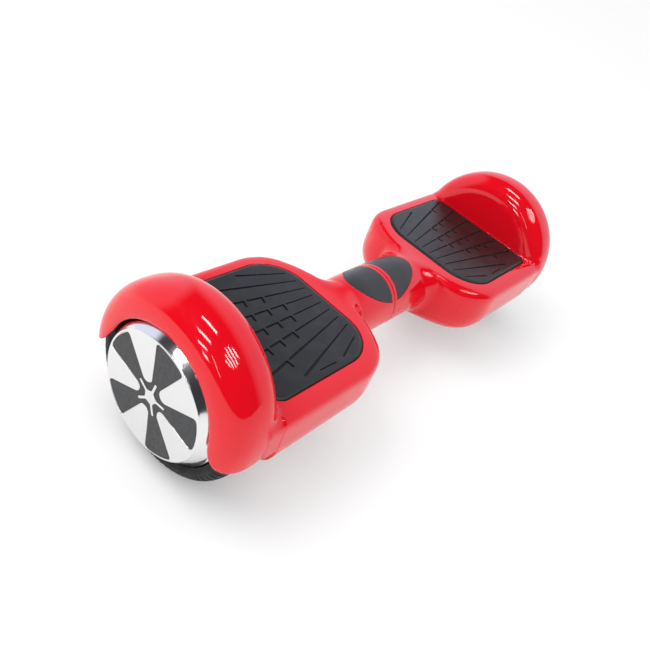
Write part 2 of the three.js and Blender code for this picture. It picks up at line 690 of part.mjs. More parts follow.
// Stepped from the clamp to a flange at the casing, the stator seat and the outer bearing.
function axle() {
  const [start, flange, seat, journal, end] = [FRAME_END_U + 2, 227, TYRE_INNER_U, 261, 269.5];
  const [flangeRadius, seatRadius, journalRadius] = [9, 8.3, 5];
  return turned([
    [start, 0], [start, AXLE_RADIUS], [flange, AXLE_RADIUS], [flange, flangeRadius], [seat, flangeRadius],
    [seat, seatRadius], [journal, seatRadius], [journal, journalRadius], [end, journalRadius], [end, 0],
  ], 12);
}

// Pressed cap: a lip, a polished cone up to a flat face, and a shallow bed for the dark inlay.
function hubCap() {
  const [back, face, rim] = [CAP_BACK_U, CAP_FACE_U, CAP_RADIUS];
  const shell = solid(turned([
    [back, 0], [back, LIP_RADIUS], [back + 2, LIP_RADIUS], [back + 3.5, LIP_RADIUS - 2],
    [face - 1.8, rim], [face - 0.6, rim - 0.6], [face, rim - 1.8], [face, 0],
  ], 24));
  const hollow = solid(rodX(rim - WALL, back - PAST, face - 4));
  const bed = solid(alongX(inlayOutline(GAP), face - INSET_DEPTH - GAP, face + PAST, 3));
  return cut(shell, hollow, bed);
}

// Five wedges with rounded corners that meet around the middle, grown by an offset.
// The metal between them narrows to a round tip.
function inlayOutline(offset) {
  const pitch = 2 * Math.PI / WEDGE_COUNT;
  const edge = WEDGE_HALF_ANGLE + offset / (WEDGE_RADIUS - CORNER_REACH);
  const outer = WEDGE_RADIUS + offset;
  const tip = INLAY_TIP_RADIUS + offset;
  const corner = CORNER_REACH / WEDGE_RADIUS;
  const shape = new THREE.Shape();
  for (let i = 0; i < WEDGE_COUNT; i += 1) {
    const middle = WEDGE_PHASE + pitch * i;
    const [start, end, next] = [middle - edge, middle + edge, middle + pitch - edge];
    if (i === 0) shape.moveTo(...polar(tip, start));
    shape.lineTo(...polar(outer - CORNER_REACH, start));
    shape.quadraticCurveTo(...polar(outer, start), ...polar(outer, start + corner));
    shape.absarc(0, 0, outer, start + corner, end - corner, false);
    shape.quadraticCurveTo(...polar(outer, end), ...polar(outer - CORNER_REACH, end));
    shape.lineTo(...polar(tip, end));
    shape.bezierCurveTo(...polar(tip - PAST, end), ...polar(tip - PAST, next), ...polar(tip, next));
  }
  return shape;
}

// A five-legged star, grown by an offset.
function starOutline(offset) {
  const pitch = 2 * Math.PI / WEDGE_COUNT;
  const [half, reach] = [STAR_LEG_HALF + offset, STAR_REACH + offset];
  const shape = new THREE.Shape();
  for (let i = 0; i < WEDGE_COUNT; i += 1) {
    const middle = WEDGE_PHASE + pitch * i;
    const [along, across] = [polar(1, middle), polar(half, middle + Math.PI / 2)];
    const leg = [[STAR_HUB_RADIUS, -1], [reach, -1], [reach, 1], [STAR_HUB_RADIUS, 1]];
    leg.forEach(([distance, s], k) => {
      const point = [along[0] * distance + across[0] * s, along[1] * distance + across[1] * s];
      if (i === 0 && k === 0) shape.moveTo(...point);
      else shape.lineTo(...point);
    });
  }
  return shape;
}

function wheelInlay() {
  const [start, end] = [CAP_FACE_U - INSET_DEPTH, CAP_FACE_U - 0.2];
  const star = solid(alongX(starOutline(GAP), start - PAST, end + PAST));
  return cut(solid(alongX(inlayOutline(0), start, end, 3)), star);
}

function hubStar() {
  return alongX(starOutline(0), CAP_FACE_U - INSET_DEPTH, CAP_FACE_U + 0.2);
}

// ---------------------------------------------------------------- assembly

const board = new THREE.Group();

function place(group, name, shape, material, side = 1) {
  const geometry = shape.getMesh ? geometryOf(shape) : closed(shape);
  if (side < 0) geometry.scale(-1, 1, 1);
  const mesh = new THREE.Mesh(closed(geometry), material);
  mesh.name = name;
  group.add(mesh);
}

function addHalf(name, side) {
  const half = new THREE.Group();
  place(half, `${name}_top_shell`, topShell(side), PAINT_RED, side);
  place(half, `${name}_bottom_shell`, bottomShell(), PAINT_RED, side);
  place(half, `${name}_neck_trim`, neckTrim(), TRIM_BLACK, side);
  place(half, `${name}_frame`, frame(side), ALUMINIUM, side);
  place(half, `${name}_axle_clamp`, axleClamp(), ALUMINIUM, side);
  place(half, `${name}_clamp_bolt_front`, clampBolt(BOLT_Y[0]), STEEL, side);
  place(half, `${name}_clamp_bolt_rear`, clampBolt(BOLT_Y[1]), STEEL, side);
  place(half, `${name}_gyro_board`, gyroBoard(), BOARD_GREEN, side);
  place(half, `${name}_headlight_lens`, headlightLens(), LENS, side);
  place(half, `${name}_headlight_board`, headlightBoard(), BOARD_GREEN, side);
  place(half, `${name}_footpad_mat`, footpadMat(), RUBBER, side);
  place(half, `${name}_pedal_plate`, pedalPlate(), TRIM_BLACK, side);
  board.add(half);
}

function addWheel(name, side) {
  const wheel = new THREE.Group();
  place(wheel, `${name}_axle`, axle(), STEEL, side);
  place(wheel, `${name}_stator`, stator(), COPPER, side);
  place(wheel, `${name}_bearing_inner`, ring(8.6, INNER_BEARING_RADIUS, 238, 245, 12), STEEL, side);
  place(wheel, `${name}_bearing_outer`, ring(5.3, OUTER_BEARING_RADIUS, 261.5, 269, 12), STEEL, side);
  place(wheel, `${name}_magnet_ring`, ring(RIM_BORE - 3.4, RIM_BORE - GAP, 248, 262, 20), STEEL, side);
  place(wheel, `${name}_rotor_rim`, rotorRim(), ALUMINIUM, side);
  place(wheel, `${name}_motor_cover`, motorCover(), ALUMINIUM, side);
  place(wheel, `${name}_tyre`, tyre(), RUBBER, side);
  place(wheel, `${name}_hub_cap`, hubCap(), POLISHED, side);
  place(wheel, `${name}_wheel_inlay`, wheelInlay(), INSET_GREY, side);
  place(wheel, `${name}_hub_star`, hubStar(), POLISHED, side);
  wheel.position.z = AXLE_HEIGHT;
  board.add(wheel);
}

// Steel tube fixed in the left hub, with a groove near its right end for the retaining ring.
function pivotTube() {
  const [start, grooveStart, grooveEnd, end] = [-HUB_END_U, HUB_END_U + 1, HUB_END_U + 3.4, HUB_END_U + PAST];
  const [bore, groove] = [TUBE_RADIUS - 3.5, TUBE_RADIUS - GROOVE_DEPTH];
  return turned([
    [start, bore], [start, TUBE_RADIUS], [grooveStart, TUBE_RADIUS], [grooveStart, groove],
    [grooveEnd, groove], [grooveEnd, TUBE_RADIUS], [end, TUBE_RADIUS], [end, bore], [start, bore],
  ], 16);
}

function addPivot() {
  const pivot = new THREE.Group();
  const [bushBore, bushOuter] = [TUBE_RADIUS + GAP, TUBE_RADIUS + GAP + BUSH_THICKNESS];
  const clip = ring(TUBE_RADIUS - GROOVE_DEPTH + GAP, bushOuter + 0.8, HUB_END_U + 1.3, HUB_END_U + 3.1, 16);
  place(pivot, 'pivot_tube', pivotTube(), STEEL);
  place(pivot, 'pivot_bush_inner', ring(bushBore, bushOuter, 15, 25, 16), RUBBER);
  place(pivot, 'pivot_bush_outer', ring(bushBore, bushOuter, HUB_END_U - 12, HUB_END_U - 2, 16), RUBBER);
  place(pivot, 'pivot_retaining_ring', clip, STEEL);
  pivot.position.z = PIVOT_HEIGHT;
  board.add(pivot);
}

// Wrapped pack that fills the left frame between its skirts, chamfered along the bottom.
function batteryPack() {
  const half = FRAME_HALF_WIDTH - FRAME_PLATE - 1;
  const [bottom, top, chamfer] = [39.5, FRAME_TOP - FRAME_PLATE - 2, 6];
  const section = new THREE.Shape();
  section.moveTo(-half + chamfer, bottom);
  section.lineTo(half - chamfer, bottom);
  section.lineTo(half, bottom + chamfer);
  section.lineTo(half, top);
  section.lineTo(-half, top);
  section.lineTo(-half, bottom + chamfer);
  return alongX(section, FRAME_SPREAD_U + 2, FRAME_END_U - 7);
}

// Hangs under the right frame on four posts, with its tall parts underneath.
function mainboard() {
  const [startU, endU] = [FRAME_SPREAD_U + 2, FRAME_END_U - 8];
  const [underside, top] = [BOARD_UNDERSIDE, BOARD_UNDERSIDE + 1.6];
  const half = FRAME_HALF_WIDTH - FRAME_PLATE - 1;
  const posts = [[startU + 5, -28], [startU + 5, 28], [endU - 5, -28], [endU - 5, 28]];
  return joined(
    solid(block(startU, endU, -half, half, underside, top)),
    ...posts.map(([u, y]) => solid(at(rodZ(2.5, underside + 1, FRAME_TOP - FRAME_PLATE - GAP, 8), u, y, 0))),
    ...[112, 126, 140].map((u) => solid(at(rodZ(6, underside - 16, underside + 1), u, 20, 0))),
    ...[-16, 2, 20].map((y) => solid(block(158, 176, y - 6, y + 6, underside - 8, underside + 1))),
  );
}

// Finned aluminium block that cools the power transistors from below.
function heatsink() {
  const [startU, endU, startY, endY] = [104, 154, -32, 8];
  const [base, depth, fins, thickness] = [6, 18, 6, 4];
  const top = BOARD_UNDERSIDE - GAP;
  const pitch = (endY - startY - thickness) / (fins - 1);
  const blades = [...Array(fins).keys()].map((i) => {
    const y = startY + pitch * i;
    return solid(block(startU, endU, y, y + thickness, top - depth, top - 1));
  });
  return joined(solid(block(startU, endU, startY, endY, top - base, top)), ...blades);
}

// Round socket with a blind bore and three pins.
function chargingSocket() {
  const [face, back, depth] = [SOCKET_FACE_Y, 66, 11];
  const body = solid(rodY(SOCKET_RADIUS, back, face));
  const bore = solid(rodY(SOCKET_BORE, face - depth, face + PAST));
  const pins = [0, 1, 2].map((i) => {
    const [u, z] = polar(3.2, Math.PI / 2 + 2 * Math.PI * i / 3);
    return solid(at(rodY(0.8, face - depth - 1, face - depth + 2, 8), u, 0, z));
  });
  return at(geometryOf(joined(cut(body, bore), ...pins)), SOCKET_U, 0, CONTROL_HEIGHT);
}

// Rubber disc at the bottom of the recess, hinged at its upper outer edge, with a lip for a fingernail.
function chargingCap() {
  const back = SOCKET_FACE_Y + 2 * GAP;
  const face = back + 1.4;
  const lip = solid(block(-3, 3, face - 0.6, face + 0.8, -7, -5.5));
  return at(geometryOf(solid(rodY(CAP_DISC_RADIUS, back, face)).add(lip)), SOCKET_U, 0, CONTROL_HEIGHT);
}

// Battery in the left half, main board and controls in the right half.
function addControls() {
  const controls = new THREE.Group();
  const [switchBack, switchFace, buttonBack, buttonFace] = [62, 76, 78, DECK_HALF_WIDTH + 0.6];
  const powerSwitch = at(rodY(BUTTON_RADIUS - 1, switchBack, switchFace), BUTTON_U, 0, CONTROL_HEIGHT);
  const powerButton = at(rodY(BUTTON_RADIUS, buttonBack, buttonFace), BUTTON_U, 0, CONTROL_HEIGHT);
  place(controls, 'battery_pack', batteryPack(), PACK_BLUE, -1);
  place(controls, 'mainboard', mainboard(), BOARD_GREEN);
  place(controls, 'controller_heatsink', heatsink(), ALUMINIUM);
  place(controls, 'power_switch', powerSwitch, TRIM_BLACK);
  place(controls, 'power_button', powerButton, POLISHED);
  place(controls, 'charging_socket', chargingSocket(), TRIM_BLACK);
  place(controls, 'charging_cap', chargingCap(), RUBBER);
  board.add(controls);
}

addHalf('left', -1);
addHalf('right', 1);
addWheel('left', -1);
addWheel('right', 1);
addPivot();
addControls();

export default board;
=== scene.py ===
import math

import bmesh
import bpy
import numpy as np
from mathutils import Matrix, Vector


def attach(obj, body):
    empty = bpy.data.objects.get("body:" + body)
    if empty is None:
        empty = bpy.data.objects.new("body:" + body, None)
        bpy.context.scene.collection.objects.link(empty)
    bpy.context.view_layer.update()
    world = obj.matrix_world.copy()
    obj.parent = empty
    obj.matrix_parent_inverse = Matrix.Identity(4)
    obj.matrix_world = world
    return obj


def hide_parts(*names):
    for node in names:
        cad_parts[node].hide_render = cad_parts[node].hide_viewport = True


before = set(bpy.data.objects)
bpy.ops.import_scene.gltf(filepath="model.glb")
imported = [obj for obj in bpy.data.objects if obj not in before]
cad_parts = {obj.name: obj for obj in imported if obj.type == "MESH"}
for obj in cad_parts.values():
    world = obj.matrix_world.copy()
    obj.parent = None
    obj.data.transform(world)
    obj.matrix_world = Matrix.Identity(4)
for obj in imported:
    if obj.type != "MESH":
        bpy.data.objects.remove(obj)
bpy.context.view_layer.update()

# Sizes in millimetres, the same as the CAD model's. Each half is described by u, the distance
# from the middle of the board along the axle, and the left half is its mirror image.
MM = 0.001
AXLE_Z = 82.5
PIVOT_Z = 78.0
NECK_R = 34.0
SEAM_U = 0.6
SEAM_SPARE = 4.0
DECK_HALF_WIDTH = 89.0
DECK_FLARE = 0.5
DECK_TOP = 107.5
DECK_BOTTOM = 34.0
DECK_INNER_U = 70.0
DECK_CORNER = 54.0
EAR_FILLET = 12.0
WALL = 3.0
SPLIT_Z = 56.0
ARCH_U = 228.0
FENDER_OUTER_U = 285.0
FENDER_R = 89.0
FENDER_POWER = 2.5
TYRE_CLEAR_R = 85.6
TYRE_CLEAR_U = 233.4
FILL_END_U = 246.0
FILL_INNER_R = 70.0
LIP_EASE = 1.6
OPENING_R = 62.0
FRONT_TIP_Z = 68.0
REAR_TIP_Z = 75.0
CROWN_BLEND = (30.0, 85.0)
BELLY_BLEND = (50.0, 110.0)
SECTION_BLEND = (54.0, 100.0)
MAT_INNER_U = 89.5
MAT_OUTER_U = 226.8
MAT_HALF_WIDTH = 71.5
MAT_INNER_CORNER = 40.0
MAT_OUTER_CORNER = 12.0
MAT_TOP = 108.3
MAT_BOTTOM = 104.3
POCKET_FLOOR = 98.2
TRAY_UNDERSIDE = 95.8
POST_U = 158.0
POST_Y = 22.0
TRIM_START_U = 5.0
TRIM_END_U = 50.0
TRIM_HALF_WIDTH = 29.8
TRIM_THICKNESS = 1.5
BUTTON_U = 182.0
BUTTON_R = 7.0
SOCKET_U = 150.0
SOCKET_R = 8.0
SOCKET_FACE_Y = 83.0
CAP_DISC_R = 8.8
CONTROL_Z = 68.0
GAP = 0.3

CORNER_U = DECK_INNER_U + DECK_CORNER
CORNER_Y = DECK_HALF_WIDTH - DECK_CORNER
FILLET_Y = NECK_R + EAR_FILLET
FILLET_U = CORNER_U - math.sqrt((DECK_CORNER + EAR_FILLET) ** 2 - (FILLET_Y - CORNER_Y) ** 2)
TANGENT_U = CORNER_U + (FILLET_U - CORNER_U) * DECK_CORNER / (DECK_CORNER + EAR_FILLET)


# ---------------------------------------------------------------- casing as a distance function

def smooth(t):
    t = np.clip(t, 0, 1)
    return t * t * (3 - 2 * t)


def blend(a, b, u, span):
    return a + (b - a) * smooth((u - span[0]) / (span[1] - span[0]))


def smax(a, b, k):
    h = np.maximum(k - np.abs(a - b), 0) / k
    return np.maximum(a, b) + h * h * k / 4


def smin(a, b, k):
    return -smax(-a, -b, k)


def half_width(u):
    ear = FILLET_Y - np.sqrt(np.maximum(EAR_FILLET ** 2 - (u - FILLET_U) ** 2, 0))
    reach = CORNER_U - u
    corner = CORNER_Y + np.sqrt(np.maximum(DECK_CORNER ** 2 - reach ** 2, 0))
    deck = DECK_HALF_WIDTH - DECK_FLARE * reach / (ARCH_U - CORNER_U)
    w = np.where(u <= FILLET_U, NECK_R, ear)
    w = np.where(u > TANGENT_U, corner, w)
    return np.where(reach <= 0, deck, w)


def top_height(u):
    return blend(PIVOT_Z + NECK_R, DECK_TOP, u, CROWN_BLEND)


def bottom_height(u):
    return blend(PIVOT_Z - NECK_R, DECK_BOTTOM, u, BELLY_BLEND)


def section(u, up):
    """Half width, height above or below the pivot, and superellipse power of the casing's section."""
    h = np.where(up, top_height(u) - PIVOT_Z, PIVOT_Z - bottom_height(u))
    p = np.where(up, blend(2, 8, u, SECTION_BLEND), blend(2, 3, u, SECTION_BLEND))
    return half_width(u), h, p


def deck_distance(u, y, z):
    up = z >= PIVOT_Z
    w, h, p = section(u, up)
    w2, h2, _ = section(u + 0.05, up)
    a, b = np.abs(y) / w, np.abs(z - PIVOT_Z) / h
    n = (a ** p + b ** p) ** (1 / p) + 1e-6
    ga, gb = (a / n) ** (p - 1), (b / n) ** (p - 1)
    slope = (ga * a * (w2 - w) / w + gb * b * (h2 - h) / h) / 0.05
    return (n - 1) / np.sqrt((ga / w) ** 2 + (gb / h) ** 2 + slope ** 2 + 1e-9)


def fender_distance(u, r, inset):
    half = (FENDER_OUTER_U - ARCH_U) / 2 - inset
    rise = FENDER_R - inset - OPENING_R
    p = FENDER_POWER
    a = np.abs(u - (ARCH_U + FENDER_OUTER_U) / 2) / half
    b = np.maximum(r - OPENING_R, 0) / rise
    n = (a ** p + b ** p) ** (1 / p) + 1e-6
    slope = np.sqrt(((a / n) ** (p - 1) / half) ** 2 + ((b / n) ** (p - 1) / rise) ** 2 + 1e-9)
    return (n - 1) / slope


def bezier(p0, p1, p2, p3, count=14):
    t = np.linspace(0, 1, count)[:, None]
    p0, p1, p2, p3 = (np.array(p, float) for p in (p0, p1, p2, p3))
    return (1 - t) ** 3 * p0 + 3 * (1 - t) ** 2 * t * p1 + 3 * (1 - t) * t ** 2 * p2 + t ** 3 * p3


def opening_outline():
    """The outline, in (y, z), of what the wheel opening leaves of the fender."""
    rear, front = math.radians(26), math.radians(176)
    arc = np.linspace(front, rear, 61)
    circle = np.stack([OPENING_R * np.cos(arc), AXLE_Z + OPENING_R * np.sin(arc)], 1)
    far = 115.0
    parts = [
        bezier(circle[-1], (64, REAR_TIP_Z + 18), (70, REAR_TIP_Z + 1), (82, REAR_TIP_Z)),
        bezier((82, REAR_TIP_Z), (86, REAR_TIP_Z - 1), (90, REAR_TIP_Z), (93, REAR_TIP_Z + 6)),
        np.array([(far, AXLE_Z + 10), (far, AXLE_Z + far), (-far, AXLE_Z + far), (-far, AXLE_Z)]),
        bezier((-93, FRONT_TIP_Z + 9), (-90, FRONT_TIP_Z), (-84, FRONT_TIP_Z), (-79, FRONT_TIP_Z)),
        bezier((-79, FRONT_TIP_Z), (-68, FRONT_TIP_Z), (-62.5, FRONT_TIP_Z + 11), circle[0]),
        circle[1:-1],
    ]
    return np.concatenate(parts)


def polygon_distance(points, y, z):
    """Signed distance to a closed polygon, negative inside."""
    best = np.full(y.shape, 1e9)
    inside = np.zeros(y.shape, bool)
    for (ay, az), (by, bz) in zip(points, np.roll(points, -1, 0)):
        dy, dz = by - ay, bz - az
        length = dy * dy + dz * dz
        if length < 1e-12:
            continue
        t = np.clip(((y - ay) * dy + (z - az) * dz) / length, 0, 1)
        best = np.minimum(best, (y - ay - t * dy) ** 2 + (z - az - t * dz) ** 2)
        crosses = (az > z) != (bz > z)
        if dz != 0:
            inside ^= crosses & (y < ay + (z - az) / dz * dy)
    return np.where(inside, -1, 1) * np.sqrt(best)


class Lookup:
    """A function of (y, z) tabled on a fine grid and read back by bilinear interpolation."""

    def __init__(self, function, low, high, step=0.5):
        self.low, self.step = np.array(low, float), step
        axes = [np.arange(low[k], high[k] + step, step) for k in range(2)]
        self.table = function(*np.meshgrid(*axes, indexing="ij"))

    def __call__(self, y, z):
        gy = np.clip((y - self.low[0]) / self.step, 0, self.table.shape[0] - 1.001)
        gz = np.clip((z - self.low[1]) / self.step, 0, self.table.shape[1] - 1.001)
        i, j = gy.astype(int), gz.astype(int)
        fy, fz = gy - i, gz - j
        t = self.table
        return ((t[i, j] * (1 - fy) + t[i + 1, j] * fy) * (1 - fz)
                + (t[i, j + 1] * (1 - fy) + t[i + 1, j + 1] * fy) * fz)


OPENING = opening_outline()
kept_arch = Lookup(lambda y, z: polygon_distance(OPENING, y, z), (-112, 25), (112, 180))


def mat_distance(u, y):
    """Signed distance in plan to the footpad's outline."""
    middle, half = (MAT_INNER_U + MAT_OUTER_U) / 2, (MAT_OUTER_U - MAT_INNER_U) / 2
    r = np.where(u < middle, MAT_INNER_CORNER, MAT_OUTER_CORNER)
    qx, qy = np.abs(u - middle) - half + r, np.abs(y) - MAT_HALF_WIDTH + r
    return np.minimum(np.maximum(qx, qy), 0) + np.hypot(np.maximum(qx, 0), np.maximum(qy, 0)) - r


def room_distance(u, y, z):
    """Distance to the room inside the deck, a wall's thickness in from its skin on every side."""
    up = z >= PIVOT_Z
    _, h, p = section(u, up)
    w = np.minimum(np.minimum(half_width(u - WALL), half_width(u + WALL)), half_width(u)) - WALL
    n = ((np.abs(y) / w) ** p + (np.abs(z - PIVOT_Z) / (h - WALL)) ** p) ** (1 / p)
    return (n - 1) * np.minimum(w, h - WALL)


def casing(u, y, z):
    """Signed distance to the whole casing of one half, hollow, before its small openings.

    The deck ends in a plate at the fender. The fill closes the groove between the two, clear of the
    tyre, and the fillet over the deck fades out beside the footpad.
    """
    r = np.hypot(y, z - AXLE_Z)
    deck = deck_distance(u, y, z)
    end = deck_distance(np.minimum(u, ARCH_U + WALL), y, z)
    fender = fender_distance(u, r, 0)
    keep = kept_arch(y, z)
    body = smax(np.maximum(deck, -SEAM_SPARE - u), u - ARCH_U - WALL, 1.0)
    arch = smax(fender, keep, LIP_EASE)
    disc = np.maximum(np.maximum(ARCH_U - u, u - ARCH_U - WALL), np.maximum(AXLE_Z - z, fender))
    filled = np.minimum(np.maximum(TYRE_CLEAR_R - r, u - FILL_END_U),
                        np.maximum(FILL_INNER_R - r, u - TYRE_CLEAR_U))
    flank = smax(np.maximum(end + 0.2, filled), keep, LIP_EASE)
    fillet = smooth((z - 84) / 20) * smooth((mat_distance(u, y) - 1) / 8)
    outer = smin(smin(body, flank, 1.0), np.minimum(arch, disc), 1.2 + 4.3 * fillet)
    tray = np.maximum(mat_distance(u, y) - WALL, TRAY_UNDERSIDE - z)
    hollow = np.maximum(np.maximum(room_distance(u, y, z), u - ARCH_U), -tray)
    wheel_room = np.maximum(fender_distance(u, r, WALL), ARCH_U + WALL - u)
    return smax(outer, -np.minimum(hollow, wheel_room), 0.8)


# ---------------------------------------------------------------- meshes from functions

def gradient(f, p, step=0.04):
    g = np.empty_like(p)
    for a in range(3):
        d = np.zeros(3)
        d[a] = step
        g[:, a] = (f(*(p + d).T) - f(*(p - d).T)) / (2 * step)
    return g


def net(f, low, high, step):
    """A closed quad mesh of the surface f = 0, from one point in each grid cell that it crosses.

    The point is where the planes through the cell's edge crossings best meet, so that edges stay crisp.
    """
    axes = [np.arange(low[k], high[k] + step, step) for k in range(3)]
    size = [len(a) for a in axes]
    field = np.empty(size, np.float64)
    for i, x in enumerate(axes[0]):
        yy, zz = np.meshgrid(axes[1], axes[2], indexing="ij")
        field[i] = f(np.full(yy.shape, x), yy, zz)
    inside = field < 0
    cells = [n - 1 for n in size]
    total = np.zeros((cells[0] * cells[1] * cells[2], 3))
    count = np.zeros(len(total))
    spread = np.zeros((len(total), 3, 3))
    pull = np.zeros((len(total), 3))
    origin = np.array([a[0] for a in axes])
    quads = []
    for a in range(3):
        b, c = (a + 1) % 3, (a + 2) % 3
        first = [slice(None)] * 3
        second = [slice(None)] * 3
        first[a], second[a] = slice(0, -1), slice(1, None)
        crossing = inside[tuple(first)] != inside[tuple(second)]
        index = np.stack(np.nonzero(crossing), 1)
        next_index = index.copy()
        next_index[:, a] += 1
        f0, f1 = field[tuple(index.T)], field[tuple(next_index.T)]
        point = index.astype(float)
        point[:, a] += f0 / (f0 - f1)
        normal = gradient(f, point * step + origin)
        normal /= np.maximum(np.linalg.norm(normal, axis=1), 1e-9)[:, None]
        offset = (normal * point).sum(1)
        corners = []
        inner = np.ones(len(index), bool)
        for db, dc in ((1, 1), (0, 1), (0, 0), (1, 0)):
            cell = index.copy()
            cell[:, b] -= db
            cell[:, c] -= dc
            for axis in (b, c):
                inner &= (cell[:, axis] >= 0) & (cell[:, axis] < cells[axis])
            corners.append(cell)
        last = np.array(cells) - 1
        flat = [np.ravel_multi_index(tuple(np.clip(k, 0, last).T), cells) for k in corners]
        for k in flat:
            def gathered(values):
                return np.bincount(k[inner], values[inner], len(total))
            for i in range(3):
                total[:, i] += gathered(point[:, i])
                pull[:, i] += gathered(normal[:, i] * offset)
                for j in range(3):
                    spread[:, i, j] += gathered(normal[:, i] * normal[:, j])
            count += np.bincount(k[inner], minlength=len(count))
        quad = np.stack(flat, 1)[inner]
        flip = ~inside[tuple(index.T)][inner]
        quad[flip] = quad[flip][:, ::-1]
        quads.append(quad)
    used = np.nonzero(count)[0]
    number = np.full(len(count), -1)
    number[used] = np.arange(len(used))
    middle = total[used] / count[used, None]
    planes = spread[used] + 0.06 * np.eye(3)
    rest = pull[used] - (spread[used] @ middle[..., None])[..., 0]
    points = middle + np.linalg.solve(planes, rest[..., None])[..., 0]
    corner = np.stack(np.unravel_index(used, cells), 1)
    points = np.clip(points, corner, corner + 1.0) * step + origin
    for _ in range(3):
        g = gradient(f, points)
        move = f(*points.T) / np.maximum((g ** 2).sum(1), 0.2)
        points -= np.clip(move, -0.3 * step, 0.3 * step)[:, None] * g
    return points, number[np.concatenate(quads)]


# ---------------------------------------------------------------- meshes from rings and grids

def axle_point(u, r, angle):
    """A point at a radius and an angle about the axle, angles going from +Y to +Z."""
    return np.array([u + 0 * angle, r * np.cos(angle), AXLE_Z + r * np.sin(angle)]).T


def grid_quads(index):
    """The quads of a grid of point numbers."""
    return np.stack([index[:-1, :-1], index[1:, :-1], index[1:, 1:], index[:-1, 1:]], -1).reshape(-1, 4)


def grid_rim(index):
    """The numbers around a grid's border, in order."""
    return np.concatenate([index[:, 0], index[-1, 1:], index[-2::-1, -1], index[0, -2:0:-1]])


def loft(rings):
    """A closed mesh through equal rings of points, with a flat cap on the first and the last."""
    count = len(rings[0])
    points = np.concatenate(rings)
    index = np.arange(len(points)).reshape(len(rings), count)
    ahead = np.roll(index, -1, 1)
    quads = np.stack([index[:-1], ahead[:-1], ahead[1:], index[1:]], -1).reshape(-1, 4)
    faces = quads.tolist() + [index[0][::-1].tolist(), index[-1].tolist()]
    return points, faces


def turned(profile, segments=128, closed=False):
    """A mesh turned about the axle from (u, r) points. A radius of zero closes onto the axis."""
    angles = 2 * np.pi * np.arange(segments) / segments
    points, faces, rows = [], [], []
    total = 0
    for u, r in profile:
        if r < 1e-6:
            points.append(np.array([[u, 0.0, AXLE_Z]]))
            rows.append(np.full(segments, total))
            total += 1
        else:
            points.append(axle_point(u, r, angles))
            rows.append(np.arange(total, total + segments))
            total += segments
    for a, b in zip(rows, rows[1:] + ([rows[0]] if closed else [])):
        a2, b2 = np.roll(a, -1), np.roll(b, -1)
        if a[0] == a[1] and b[0] == b[1]:
            continue
        if a[0] == a[1]:
            faces += np.stack([a, b2, b], 1).tolist()
        elif b[0] == b[1]:
            faces += np.stack([a, a2, b], 1).tolist()
        else:
            faces += np.stack([a, a2, b2, b], 1).tolist()
    return np.concatenate(points), faces


def eased(profile, radii, steps=4, closed=False):
    """The same outline with its corners rounded, each by its own radius."""
    profile = [np.array(p, float) for p in profile]
    out = []
    n = len(profile)
    for i, p in enumerate(profile):
        r = radii[i] if i < len(radii) else 0
        if r <= 0 or (not closed and i in (0, n - 1)):
            out.append(tuple(p))
            continue
        a, b = profile[i - 1] - p, profile[(i + 1) % n] - p
        la, lb = np.linalg.norm(a), np.linalg.norm(b)
        reach = min(r, 0.48 * la, 0.48 * lb)
        p0, p1 = p + a / la * reach, p + b / lb * reach
        for k in range(steps + 1):
            t = k / steps
            out.append(tuple((1 - t) ** 2 * p0 + 2 * t * (1 - t) * p + t * t * p1))
    return out


def plate(upper, lower):
    """A closed mesh between two grids of points with the same rows and columns."""
    n, m = upper.shape[:2]
    top = np.arange(n * m).reshape(n, m)
    low = top + n * m
    rim = grid_rim(top)
    rim2 = rim + n * m
    side = np.stack([rim, rim2, np.roll(rim2, -1), np.roll(rim, -1)], -1)
    points = np.concatenate([upper.reshape(-1, 3), lower.reshape(-1, 3)])
    return points, grid_quads(top).tolist() + grid_quads(low)[:, ::-1].tolist() + side.tolist()


def unit_circle(axis, segments):
    """Points on a circle of radius one around an axis of length one."""
    side = np.cross(axis, (0, 0, 1) if abs(axis[2]) < 0.9 else (1, 0, 0))
    side /= np.linalg.norm(side)
    t = 2 * np.pi * np.arange(segments) / segments
    return np.cos(t)[:, None] * side + np.sin(t)[:, None] * np.cross(axis, side)


def prism(outline, ends, axis=0):
    """A bar along an axis, 0, 1 or 2, from its outline in the two other coordinates."""
    return loft([np.insert(np.array(outline, float), axis, at, 1) for at in ends])


def rod(start, end, radius, segments=32):
    """A closed cylinder between two points."""
    start, end = np.array(start, float), np.array(end, float)
    circle = radius * unit_circle((end - start) / np.linalg.norm(end - start), segments)
    return loft([start + circle, end + circle])


def spun(profile, origin, axis, segments=48):
    """A closed mesh turned about any axis from (height, radius) pairs, flat at both ends."""
    origin, axis = np.array(origin, float), np.array(axis, float)
    axis /= np.linalg.norm(axis)
    circle = unit_circle(axis, segments)
    return loft([origin + axis * h + circle * max(r, 0.02) for h, r in profile])


def merge(shapes):
    """Several meshes as one."""
    points, faces, base = [], [], 0
    for p, f in shapes:
        points.append(np.asarray(p, float))
        faces += [[i + base for i in face] for face in f]
        base += len(p)
    return np.concatenate(points), faces


def box(low, high):
    (a, b, c), (d, e, f) = low, high
    return prism([(a, b), (d, b), (d, e), (a, e)], (c, f), 2)


# ---------------------------------------------------------------- objects

def mesh_of(name, shape, side):
    """A Blender mesh in metres from points in millimetres, mirrored for the left half."""
    points, faces = shape
    points = np.array(points, float) * MM
    points[:, 0] *= side
    if isinstance(faces, np.ndarray):
        faces = faces.tolist()
    mesh = bpy.data.meshes.new(name)
    mesh.from_pydata(points.tolist(), [], faces)
    mesh.validate()
    work = bmesh.new()
    work.from_mesh(mesh)
    bmesh.ops.recalc_face_normals(work, faces=work.faces)
    if work.calc_volume(signed=True) < 0:
        bmesh.ops.reverse_faces(work, faces=work.faces)
    work.to_mesh(mesh)
    work.free()
    return mesh


